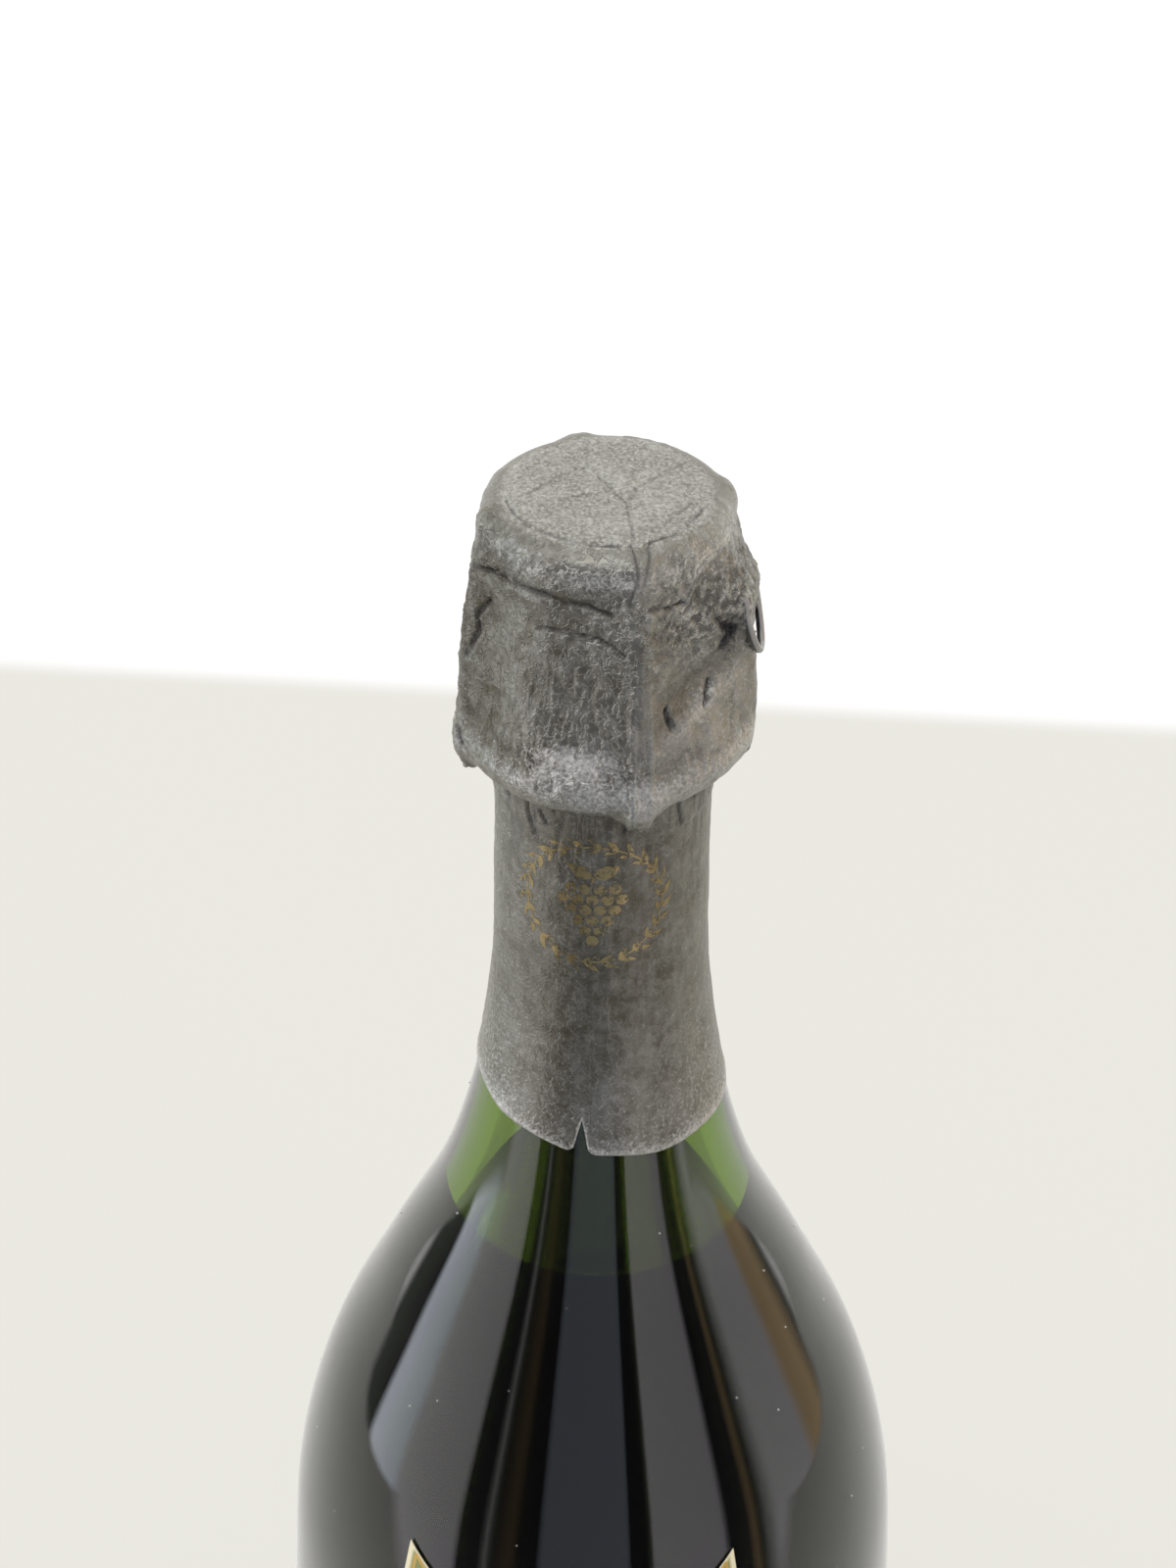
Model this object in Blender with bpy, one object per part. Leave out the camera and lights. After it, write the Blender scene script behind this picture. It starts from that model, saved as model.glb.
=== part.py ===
"""A corked bottle of sparkling wine with its wire cage and foil.

Every length is in metres. +Z runs up the bottle's axis from the table, and an azimuth is an
angle about that axis, from the front (-Y) towards the right (+X).
"""

import math

import bmesh
import bpy
from mathutils import Vector

# Clearances and cutters
GAP = 0.0003  # between pieces that touch on the real bottle
CUT_OVERRUN = 0.006  # how far a cutter runs past what it cuts
MERGE = 0.00001

# Glass: the body, shoulder and neck
GLASS_HEIGHT = 0.2940
BODY_RADIUS = 0.0470
WIDEST_HEIGHT = 0.1145
NECK_RADIUS = 0.01345
BODY_WALL = 0.0051
BORE_RADIUS = 0.0089
MOUTH_ROUND = 0.0008
# Outline from the widest place to the collar: share of the height, share of the swelling
SHOULDER_SHARES = (
    (0.0, 1.0),
    (0.137, 0.9455),
    (0.26, 0.795),
    (0.382, 0.535),
    (0.505, 0.2635),
    (0.627, 0.105),
    (0.75, 0.022),
    (0.875, 0.004),
    (1.0, 0.0),
)

# Glass: the heel, the standing ring and the punt under the base
HEEL_RADIUS = 0.0441
HEEL_HEIGHT = 0.0130
STANDING_RADIUS = 0.0362
STANDING_WIDTH = 0.0030
PUNT_HEIGHT = 0.0300
PUNT_THICKNESS = 0.0065
BASE_THICKNESS = 0.0080
# Outline of the punt from its foot to its top: share of the radius, share of the height
PUNT_SHARES = ((1.0, 0.0), (0.94, 0.17), (0.8, 0.45), (0.62, 0.7), (0.4, 0.88), (0.0, 1.0))

# Glass: the collar that the cage holds on to, and the lip above it
COLLAR_RADIUS = 0.0160
COLLAR_HEIGHT = 0.0080
COLLAR_DROP = 0.0164  # from the mouth down to the collar's underside
COLLAR_ROUND = 0.0011
LIP_RADIUS = 0.0143
LIP_HEIGHT = 0.0056
LIP_ROUND = 0.0012
GROOVE_RADIUS = 0.0136

# Wine
FILL_HEIGHT = 0.1941

# Cork: a moulded body with two discs of natural cork under it
CORK_HEAD_RADIUS = 0.0140
CORK_HEAD_HEIGHT = 0.0133
CORK_SEAT_RADIUS = 0.0120  # flat underside of the head on the lip
CORK_TOP_ROUND = 0.0016
CORK_SHANK = 0.0140  # moulded part of the shank, below the mouth
CORK_DISC_THICKNESS = 0.0056
CORK_CHAMFER = 0.0006
# Outline of the cork's head down to its seat: share of the swelling, share of the height
CORK_HEAD_SHARES = ((1.0, 0.38), (0.5, 0.12), (0.0, 0.0))

# Metal cap under the wires
CAP_THICKNESS = 0.0003
CAP_DISC_RADIUS = 0.0114
CAP_DISC_RISE = 0.0013
CAP_SKIRT = 0.0035
CAP_ROUND = 0.0011

# Wire cage: four wires, each a quarter of the ring and one strand of two legs
STRAND = 0.00085
STRAND_GAP = 0.00025  # between the two strands of a leg
RING_RADIUS = 0.0124
RING_BEND = 0.0011
RING_EASE_SHARE = 0.3  # of the bend, where the ring's end points lie
LEG_COUNT = 4
FIRST_LEG = math.radians(14.6)
LEG_TURNS = 4
LEG_TOP_DROP = 0.0028  # from the cap's skirt to the first twist
EYE_HEIGHT = 0.0056
EYE_WIDTH = 0.0036
TAIL = 0.0016

# Belt under the collar, and the key that its two ends are twisted into
BELT_WIRE = 0.0010
BELT_RADIUS = 0.0150
KEY_AZIMUTH = math.radians(82.0)
KEY_STRAND_GAP = 0.00048
KEY_TURNS = 3
KEY_ROOT = 0.0012  # straight stretch before the first twist
KEY_TWIST = 0.0120
KEY_LOOP_WIDTH = 0.0085
KEY_LOOP_LENGTH = 0.0200
KEY_LEAN = 0.0024  # how far the loop leans in over the cork, up to its hook
KEY_RISE = 0.0085  # from the loop's foot to where its end starts to hook out and down
KEY_HOOK_RADIUS = 0.0012
KEY_ROOT_GAP = 0.00035
KEY_REACH_SHARE = 4.0  # where the belt turns out to the key, in half widths of its root
# Path of the belt at a leg: place in half eyes, and side (-1 inside the leg, 1 outside)
WEAVE_SHARES = ((-4.0, 0), (-1.8, -1), (-0.55, -1), (0.55, 1), (1.5, 1), (4.2, 0))
# Places of the belt's points at a leg, in half eyes
BELT_POINT_SHARES = (-4, -3, -1.8, -1.15, -0.55, -0.2, 0.2, 0.55, 1, 1.5, 2.4, 3.3, 4.2, 6, 8)

# Foil
FOIL = 0.00025
HOOD_DROP = 0.0004  # below the tips of the legs
HOOD_SKIRT_RADIUS = 0.0180  # between the legs, over the belt
HOOD_ROLL_RADIUS = 0.0186  # where the foil rolls over the belt
HOOD_HEM_RADIUS = 0.0174  # where it turns in under the belt, to the tear line
HOOD_CORNER_SHARES = (0.7, 0.45)  # heights of its rows over the cap's rounded corner
# How it hangs from the cap to the collar: share of the way down, share of the way out
HOOD_HANG_SHARES = ((0.4, 0.12), (0.8, 0.45))
HOOD_WAIST_SHARE = 0.33  # of the collar's height, down to the row halfway out to the skirt
BELT_SWELL_SHARE = 2.0  # reach of the swelling over the belt, in half eyes
WINDOW_MARGIN = 0.0008  # torn opening around the key
FLANGE_RADIUS = 0.0172
FLANGE_SLOPE = 0.0030
NECK_FOIL_LENGTH = 0.0592  # from the collar down to its edge at the sides
NECK_FOIL_SIDE_TILT = 0.0020
NECK_FOIL_FRONT_DIP = 0.0016
FLANGE_SHARES = ((0.35, 0.45), (1.0, 1.0))  # way out and way up of the flange's rows
SLEEVE_SHARES = (0.0, 0.14, 0.28, 0.44, 0.62, 0.81, 1.0)  # heights of the sleeve's rows
SLIT_AZIMUTH = math.radians(-7.5)
SLIT_HEIGHT = 0.0046
SLIT_WIDTH = 0.0024

# Front label
PAPER = 0.0002
LABEL_AZIMUTH = math.radians(-4.5)
LABEL_WIDTH = 0.0560
LABEL_BOTTOM = 0.0640
LABEL_TOP = 0.1560
LABEL_SCOOP = 0.0100
LABEL_SKEW = 0.0014

# Facets
GLASS_FACETS = 36
CAP_FACETS = 32
CORK_FACETS = 28
HOOD_FACETS = 56
NECK_FOIL_FACETS = 40
LABEL_COLUMNS = 14
LABEL_ROWS = 9
POINTS_A_TURN = 6

# Heights and radii worked out from the sizes above
COLLAR_BOTTOM = GLASS_HEIGHT - COLLAR_DROP
COLLAR_TOP = COLLAR_BOTTOM + COLLAR_HEIGHT
NECK_FOIL_BOTTOM = COLLAR_BOTTOM - NECK_FOIL_LENGTH
LIP_BOTTOM = GLASS_HEIGHT - LIP_HEIGHT
NECK_WALL = NECK_RADIUS - BORE_RADIUS
CORK_RADIUS = BORE_RADIUS - GAP
CORK_SEAT = GLASS_HEIGHT + GAP
CORK_TOP = CORK_SEAT + CORK_HEAD_HEIGHT
CAP_LEDGE = CORK_TOP + GAP + CAP_THICKNESS
CAP_TOP = CAP_LEDGE + CAP_DISC_RISE
CAP_RADIUS = CORK_HEAD_RADIUS + GAP + CAP_THICKNESS
CAP_BOTTOM = CAP_LEDGE - CAP_SKIRT - CAP_THICKNESS
RING_HEIGHT = CAP_LEDGE + GAP + STRAND / 2
LEG_SPREAD = (STRAND + STRAND_GAP) / 2
LEG_HALF = LEG_SPREAD + STRAND / 2
LEG_RADIUS = COLLAR_RADIUS + GAP + LEG_HALF
LEG_TOP = CAP_BOTTOM - LEG_TOP_DROP
LEG_TOP_RADIUS = CORK_HEAD_RADIUS + GAP + LEG_HALF
BELT_HEIGHT = COLLAR_BOTTOM - BELT_WIRE / 2 - 2 * GAP
EYE_TOP = BELT_HEIGHT + EYE_HEIGHT / 2
EYE_BOTTOM = BELT_HEIGHT - EYE_HEIGHT / 2
TAIL_BOTTOM = EYE_BOTTOM - TAIL
WEAVE = (STRAND + BELT_WIRE) / 2 + GAP
KEY_SPREAD = (BELT_WIRE + KEY_STRAND_GAP) / 2
KEY_HALF = KEY_SPREAD + BELT_WIRE / 2
KEY_RADIUS = COLLAR_RADIUS + GAP + KEY_HALF
KEY_LOOP_BOTTOM = BELT_HEIGHT + KEY_ROOT + KEY_TWIST
HOOD_BOTTOM = TAIL_BOTTOM - HOOD_DROP
HOOD_TOP = CAP_TOP + GAP
FLANGE_TOP = HOOD_BOTTOM - GAP


def plain_material(name, colour, roughness, metallic=0.0, transmission=0.0):
    """A Principled material of one colour."""
    material = bpy.data.materials.new(name)
    material.use_nodes = True
    shader = material.node_tree.nodes["Principled BSDF"]
    shader.inputs["Base Color"].default_value = (*colour, 1.0)
    shader.inputs["Roughness"].default_value = roughness
    shader.inputs["Metallic"].default_value = metallic
    shader.inputs["Transmission Weight"].default_value = transmission
    return material


def add_object(name, data, material=None):
    """Link a new object to the scene."""
    piece = bpy.data.objects.new(name, data)
    bpy.context.scene.collection.objects.link(piece)
    if material:
        data.materials.append(material)
    return piece


def polar(radius, azimuth, height):
    """A point by its radius, its azimuth from the front, and its height."""
    return Vector((radius * math.sin(azimuth), -radius * math.cos(azimuth), height))


def between(stations, height):
    """The radius at a height, on straight runs between (radius, height) points."""
    ordered = sorted(stations, key=lambda station: station[1])
    for (radius_a, height_a), (radius_b, height_b) in zip(ordered, ordered[1:]):
        if height <= height_b:
            share = max(0.0, (height - height_a) / (height_b - height_a))
            return radius_a + (radius_b - radius_a) * share
    return ordered[-1][0]


def smoothed(points, steps):
    """A Catmull-Rom curve through points, with the given steps from each to the next."""
    padded = [points[0], *points, points[-1]]
    curve = []
    for before, start, end, after in zip(padded, padded[1:], padded[2:], padded[3:]):
        for step in range(steps):
            t = step / steps
            weights = (
                (-t + 2 * t**2 - t**3) / 2,
                (2 - 5 * t**2 + 3 * t**3) / 2,
                (t + 4 * t**2 - 3 * t**3) / 2,
                (-(t**2) + t**3) / 2,
            )
            corners = (before, start, end, after)
            curve.append(tuple(sum(w * p[k] for w, p in zip(weights, corners)) for k in (0, 1)))
    curve.append(points[-1])
    return curve


def offset_outline(points, distances):
    """Move each point of an upward (radius, height) outline towards the axis side."""
    moved = []
    for index, ((radius, height), distance) in enumerate(zip(points, distances)):
        before = points[max(index - 1, 0)]
        after = points[min(index + 1, len(points) - 1)]
        run, rise = after[0] - before[0], after[1] - before[1]
        length = math.hypot(run, rise)
        moved.append((radius - distance * rise / length, height + distance * run / length))
    return moved


def quarter(centre, radii, start, end, steps):
    """Points of an elliptical arc about (radius, height), by angles from straight up."""
    points = []
    for step in range(steps + 1):
        angle = math.radians(start + (end - start) * step / steps)
        radius = centre[0] + radii[0] * math.sin(angle)
        points.append((radius, centre[1] + radii[1] * math.cos(angle)))
    return points


def turned(name, outline, facets, material):
    """Turn (radius, height) points about +Z. They run down the outer side."""
    edges = [(index, index + 1) for index in range(len(outline) - 1)]
    mesh = bpy.data.meshes.new(name)
    mesh.from_pydata([(radius, 0, height) for radius, height in outline], edges, [])
    piece = add_object(name, mesh, material)
    screw = piece.modifiers.new("Turn", "SCREW")
    screw.axis = "Z"
    screw.steps = facets
    screw.render_steps = facets
    screw.use_merge_vertices = True
    screw.merge_threshold = MERGE
    screw.use_smooth_shade = True
    return piece


def round_wire(name, points, diameter, material):
    """A wire with flat ends along points."""
    curve = bpy.data.curves.new(name, "CURVE")
    curve.dimensions = "3D"
    curve.bevel_depth = diameter / 2
    curve.bevel_resolution = 1
    curve.use_fill_caps = True
    curve.render_resolution_u = 0
    spline = curve.splines.new("POLY")
    spline.points.add(len(points) - 1)
    for place, point in zip(spline.points, points):
        place.co = (*point, 1.0)
    return add_object(name, curve, material)


def skin(name, rows, thickness, material, closed_round, apex=None):
    """A thin sheet over rows of points, thickened outwards. An apex closes its top."""
    mesh = bmesh.new()
    grid = [[mesh.verts.new(point) for point in row] for row in rows]
    count = len(rows[0])
    for lower, upper in zip(grid, grid[1:]):
        for index in range(count if closed_round else count - 1):
            after = (index + 1) % count
            mesh.faces.new((lower[index], lower[after], upper[after], upper[index]))
    if apex:
        top = mesh.verts.new(apex)
        for index in range(count):
            mesh.faces.new((grid[-1][index], grid[-1][(index + 1) % count], top))
    data = bpy.data.meshes.new(name)
    mesh.to_mesh(data)
    mesh.free()
    data.shade_smooth()
    piece = add_object(name, data, material)
    solid = piece.modifiers.new("Thickness", "SOLIDIFY")
    solid.thickness = thickness
    solid.offset = 1.0
    return piece


def cut_away(piece, cutter):
    """Subtract a cutter, which stays in the scene as a guide."""
    cutter.display_type = "WIRE"
    cutter.hide_render = True
    cut = piece.modifiers.new("Cut", "BOOLEAN")
    cut.operation = "DIFFERENCE"
    cut.object = cutter


def radial_prism(name, outline, azimuth, near, far):
    """Extrude a (sideways, height) outline along the radius at an azimuth."""
    outward = polar(1.0, azimuth, 0)
    sideways = polar(1.0, azimuth + math.pi / 2, 0)
    mesh = bmesh.new()
    places = [sideways * across + outward * near + Vector((0, 0, up)) for across, up in outline]
    face = mesh.faces.new([mesh.verts.new(place) for place in places])
    moved = bmesh.ops.extrude_face_region(mesh, geom=[face])["geom"]
    corners = [item for item in moved if isinstance(item, bmesh.types.BMVert)]
    bmesh.ops.translate(mesh, verts=corners, vec=outward * (far - near))
    bmesh.ops.recalc_face_normals(mesh, faces=mesh.faces)
    data = bpy.data.meshes.new(name)
    mesh.to_mesh(data)
    mesh.free()
    return add_object(name, data)


def belly_outline(smoothing=2):
    """Outer side of the glass from the top of the heel to the collar, going up."""
    rise = WIDEST_HEIGHT - HEEL_HEIGHT
    swell = BODY_RADIUS - HEEL_RADIUS
    steps = 4
    lower = []
    for step in range(steps):
        share = step / steps
        radius = HEEL_RADIUS + swell * math.sin(share * math.pi / 2)
        lower.append((radius, HEEL_HEIGHT + rise * share))
    rise = COLLAR_BOTTOM - WIDEST_HEIGHT
    swell = BODY_RADIUS - NECK_RADIUS
    shoulder = [(NECK_RADIUS + swell * r, WIDEST_HEIGHT + rise * h) for h, r in SHOULDER_SHARES]
    return lower + smoothed(shoulder, smoothing)


def cavity_outline():
    """Inside of the glass, going up from the axis over the punt to the bore."""
    outer = belly_outline(smoothing=1)
    walls = []
    for _, height in outer:
        share = max(0.0, (height - WIDEST_HEIGHT) / (COLLAR_BOTTOM - WIDEST_HEIGHT))
        walls.append(BODY_WALL + (NECK_WALL - BODY_WALL) * share)
    wall = offset_outline(outer, walls)
    foot = STANDING_RADIUS - STANDING_WIDTH
    dome = PUNT_HEIGHT + PUNT_THICKNESS - BASE_THICKNESS
    floor = [(foot * r, BASE_THICKNESS + dome * h) for r, h in reversed(PUNT_SHARES)]
    trough_radius = wall[0][0] - foot
    trough_rise = HEEL_HEIGHT - BASE_THICKNESS
    trough = quarter((foot, HEEL_HEIGHT), (trough_radius, trough_rise), 180, 90, 4)
    return floor + trough[1:] + wall[1:]


def make_glass(material):
    """The bottle: heel, standing ring, punt, body, shoulder, neck, collar and lip."""
    inside = cavity_outline()
    mouth_centre = (BORE_RADIUS + MOUTH_ROUND, GLASS_HEIGHT - MOUTH_ROUND)
    mouth = quarter(mouth_centre, (MOUTH_ROUND, MOUTH_ROUND), 270, 360, 2)
    lip_top = (LIP_RADIUS - LIP_ROUND, GLASS_HEIGHT - LIP_ROUND)
    lip_foot = (LIP_RADIUS - LIP_ROUND, LIP_BOTTOM + LIP_ROUND)
    lip = quarter(lip_top, (LIP_ROUND, LIP_ROUND), 0, 90, 2)
    lip += quarter(lip_foot, (LIP_ROUND, LIP_ROUND), 90, 150, 2)
    groove = [(GROOVE_RADIUS, LIP_BOTTOM), (GROOVE_RADIUS, COLLAR_TOP + COLLAR_ROUND)]
    collar_top = (COLLAR_RADIUS - COLLAR_ROUND, COLLAR_TOP - COLLAR_ROUND)
    collar_foot = (COLLAR_RADIUS - COLLAR_ROUND, COLLAR_BOTTOM + COLLAR_ROUND)
    collar = quarter(collar_top, (COLLAR_ROUND, COLLAR_ROUND), 0, 90, 3)
    collar += quarter(collar_foot, (COLLAR_ROUND, COLLAR_ROUND), 90, 180, 3)
    belly = list(reversed(belly_outline()))
    heel_swell = HEEL_RADIUS - STANDING_RADIUS
    heel = quarter((STANDING_RADIUS, HEEL_HEIGHT), (heel_swell, HEEL_HEIGHT), 90, 180, 4)
    foot = STANDING_RADIUS - STANDING_WIDTH
    punt = [(foot * radius, PUNT_HEIGHT * height) for radius, height in PUNT_SHARES]
    outline = inside + mouth + lip + groove + collar + belly + heel[1:] + punt
    return turned("glass_bottle", outline, GLASS_FACETS, material)


def make_wine(material):
    """The wine, a clearance inside the glass, up to its level in the shoulder."""
    inside = cavity_outline()
    shrunk = offset_outline(inside, [GAP] * len(inside))
    shrunk[0] = (0.0, inside[0][1] + GAP)
    below = [point for point in shrunk if point[1] < FILL_HEIGHT]
    rim = (between(shrunk[len(PUNT_SHARES):], FILL_HEIGHT), FILL_HEIGHT)
    outline = [(0.0, FILL_HEIGHT), rim, *reversed(below)]
    return turned("wine", outline, GLASS_FACETS, material)


def make_cork(moulded, natural):
    """The moulded cork with its head, and the two natural discs glued under it."""
    shank_bottom = GLASS_HEIGHT - CORK_SHANK
    top_centre = (CORK_HEAD_RADIUS - CORK_TOP_ROUND, CORK_TOP - CORK_TOP_ROUND)
    swell = CORK_HEAD_RADIUS - CORK_SEAT_RADIUS
    outline = [(0.0, CORK_TOP)]
    outline += quarter(top_centre, (CORK_TOP_ROUND, CORK_TOP_ROUND), 0, 90, 2)
    for out, up in CORK_HEAD_SHARES:
        outline.append((CORK_SEAT_RADIUS + swell * out, CORK_SEAT + CORK_HEAD_HEIGHT * up))
    outline += [(CORK_RADIUS, CORK_SEAT), (CORK_RADIUS, shank_bottom), (0.0, shank_bottom)]
    turned("cork_body", outline, CORK_FACETS, moulded)
    top = shank_bottom - GAP
    for name in ("cork_disc_upper", "cork_disc_lower"):
        bottom = top - CORK_DISC_THICKNESS
        chamfer = CORK_CHAMFER if name == "cork_disc_lower" else 0.0
        disc = [(0.0, top), (CORK_RADIUS, top), (CORK_RADIUS, bottom + CORK_CHAMFER)]
        disc += [(CORK_RADIUS - chamfer, bottom), (0.0, bottom)]
        turned(name, disc, CORK_FACETS, natural)
        top = bottom - GAP


def make_cap(material):
    """The metal cap: a raised disc, a ledge for the ring of wire, and a skirt."""
    corner = (CAP_RADIUS - CAP_ROUND, CAP_LEDGE - CAP_ROUND)
    inner_round = CAP_ROUND - CAP_THICKNESS
    outline = [(0.0, CAP_TOP), (CAP_DISC_RADIUS - CAP_THICKNESS, CAP_TOP)]
    outline += [(CAP_DISC_RADIUS, CAP_TOP - CAP_THICKNESS), (CAP_DISC_RADIUS, CAP_LEDGE)]
    outline += quarter(corner, (CAP_ROUND, CAP_ROUND), 0, 90, 4)
    outline += [(CAP_RADIUS, CAP_BOTTOM), (CAP_RADIUS - CAP_THICKNESS, CAP_BOTTOM)]
    outline += quarter(corner, (inner_round, inner_round), 90, 0, 3)
    inner_disc = CAP_DISC_RADIUS - CAP_THICKNESS
    outline += [(inner_disc, CAP_LEDGE - CAP_THICKNESS), (inner_disc, CAP_TOP - CAP_THICKNESS)]
    outline += [(0.0, CAP_TOP - CAP_THICKNESS)]
    return turned("cork_cap", outline, CAP_FACETS, material)


def leg_radius(height):
    """Radius of a leg's centre line: it leans out from the cork to pass the collar."""
    share = (LEG_TOP - height) / (LEG_TOP - COLLAR_TOP - 2 * CAP_ROUND)
    return LEG_TOP_RADIUS + (LEG_RADIUS - LEG_TOP_RADIUS) * min(1.0, share)


def leg_strand(azimuth, side):
    """One strand of a leg from the ring down to its tail. Side is 1 or -1."""
    corner = (CAP_RADIUS - CAP_ROUND, CAP_LEDGE - CAP_ROUND)
    clear = CAP_ROUND + GAP + STRAND / 2
    over = quarter(corner, (clear, clear), 0, 90, 3)
    over.append((CAP_RADIUS + GAP + STRAND / 2, CAP_BOTTOM + CAP_ROUND))
    places = [(radius, height, 0.0, LEG_SPREAD) for radius, height in over]
    steps = LEG_TURNS * POINTS_A_TURN
    for step in range(steps + 1):
        share = step / steps
        height = LEG_TOP + (EYE_TOP - LEG_TOP) * share
        places.append((leg_radius(height), height, share * LEG_TURNS * math.tau, LEG_SPREAD))
    steps = 8
    for step in range(1, steps + 1):
        share = step / steps
        spread = LEG_SPREAD + (EYE_WIDTH / 2 - LEG_SPREAD) * math.sin(share * math.pi) ** 1.5
        places.append((LEG_RADIUS, EYE_TOP - EYE_HEIGHT * share, 0.0, spread))
    steps = 3
    for step in range(1, steps + 1):
        share = step / steps
        places.append((LEG_RADIUS, EYE_BOTTOM - TAIL * share, share * math.pi / 2, LEG_SPREAD))
    points = []
    for radius, height, turn, spread in places:
        sideways = side * spread * math.cos(turn)
        outwards = side * spread * math.sin(turn)
        points.append(polar(radius + outwards, azimuth + sideways / radius, height))
    return points


def make_cage(material):
    """Four wires. Each makes a quarter of the ring on the cap and a strand of two legs."""
    step = math.tau / LEG_COUNT
    for number in range(LEG_COUNT):
        start = FIRST_LEG + number * step
        apart = LEG_SPREAD / RING_RADIUS
        bend = RING_BEND / RING_RADIUS
        first, last = start + apart, start + step - apart
        ease = RING_RADIUS + RING_BEND * RING_EASE_SHARE
        arc = [polar(ease, first + bend * RING_EASE_SHARE, RING_HEIGHT)]
        pieces = 8
        for piece in range(pieces + 1):
            azimuth = first + bend + (last - first - 2 * bend) * piece / pieces
            arc.append(polar(RING_RADIUS, azimuth, RING_HEIGHT))
        arc.append(polar(ease, last - bend * RING_EASE_SHARE, RING_HEIGHT))
        points = list(reversed(leg_strand(start, 1))) + arc + leg_strand(start + step, -1)
        round_wire(f"cage_wire_{number + 1}", points, STRAND, material)


def belt_radius(azimuth):
    """Radius of the belt, which enters each eye from inside and leaves it outside."""
    radii = {-1: LEG_RADIUS - WEAVE, 0: BELT_RADIUS, 1: LEG_RADIUS + WEAVE}
    weave = [(radii[side], place * EYE_WIDTH / 2) for place, side in WEAVE_SHARES]
    step = math.tau / LEG_COUNT
    turn = (azimuth - FIRST_LEG + step / 2) % step - step / 2
    return between(weave, turn * LEG_RADIUS)


def make_belt(material):
    """The belt under the collar, woven through the four eyes. Its ends turn out to the key."""
    half_eye = EYE_WIDTH / 2 / LEG_RADIUS
    reach = KEY_REACH_SHARE * KEY_SPREAD / KEY_RADIUS
    azimuths = []
    for number in range(-1, LEG_COUNT + 1):
        leg = FIRST_LEG + number * math.tau / LEG_COUNT
        for share in BELT_POINT_SHARES:
            azimuths.append(leg + share * half_eye)
    start, end = KEY_AZIMUTH + reach, KEY_AZIMUTH + math.tau - reach
    turns = [turn for leg in azimuths for turn in (leg, leg + math.tau)]
    inner = sorted({round(turn, 6) for turn in turns if start < turn < end})
    points = [polar(belt_radius(azimuth), azimuth, BELT_HEIGHT) for azimuth in inner]
    out = KEY_RADIUS - BELT_WIRE / 2 - KEY_ROOT_GAP
    bend = BELT_RADIUS + BELT_WIRE / 2
    for radius in (bend, out):
        side = KEY_SPREAD / radius
        points.insert(0, polar(radius, KEY_AZIMUTH + side, BELT_HEIGHT))
        points.append(polar(radius, KEY_AZIMUTH - side, BELT_HEIGHT))
    return round_wire("belt_wire", points, BELT_WIRE, material)


def key_point(across, outwards, up):
    """A point of the key, from its root on the belt."""
    outward = polar(1.0, KEY_AZIMUTH, 0)
    sideways = polar(1.0, KEY_AZIMUTH + math.pi / 2, 0)
    place = outward * (KEY_RADIUS + outwards) + sideways * across
    return place + Vector((0, 0, BELT_HEIGHT + up))


def key_hook(along):
    """Way out and up on the loop's side view: it leans in, then hooks out and down."""
    foot = KEY_ROOT + KEY_TWIST
    rise = min(along, KEY_RISE)
    bend = min(max(along - KEY_RISE, 0.0) / KEY_HOOK_RADIUS, math.pi)
    drop = max(0.0, along - KEY_RISE - math.pi * KEY_HOOK_RADIUS)
    outwards = KEY_HOOK_RADIUS * (1 - math.cos(bend)) - KEY_LEAN * rise / KEY_RISE
    return outwards, foot + rise + KEY_HOOK_RADIUS * math.sin(bend) - drop


def make_key(material):
    """The key: one wire that runs up a twist, round a loop and down the twist again."""
    steps = KEY_TURNS * POINTS_A_TURN
    rising = [(KEY_SPREAD, 0.0, 0.0)]
    for step in range(steps + 1):
        turn = KEY_TURNS * math.tau * step / steps
        up = KEY_ROOT + KEY_TWIST * step / steps
        rising.append((KEY_SPREAD * math.cos(turn), KEY_SPREAD * math.sin(turn), up))
    falling = [(-across, -outwards, up) for across, outwards, up in reversed(rising)]
    half_width, half_length = KEY_LOOP_WIDTH / 2, KEY_LOOP_LENGTH / 2
    open_angle = math.pi - math.asin(KEY_SPREAD / half_width)
    loop = []
    steps = 24
    for step in range(1, steps):
        angle = open_angle - 2 * open_angle * step / steps
        along = half_length * (1 + math.cos(angle))
        loop.append((half_width * math.sin(angle), *key_hook(along)))
    path = rising + loop + falling
    points = [key_point(*place) for place in path]
    key = round_wire("cage_key", points, BELT_WIRE, material)
    print(f"key: least gap between its strands {least_gap(points, BELT_WIRE):.5f} m")
    return key


def least_gap(points, diameter):
    """Least distance between stretches of a wire that aren't next to each other."""
    clearances = []
    for index, point in enumerate(points):
        for other in points[index + POINTS_A_TURN:]:
            clearances.append((point - other).length - diameter)
    return min(clearances)


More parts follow.
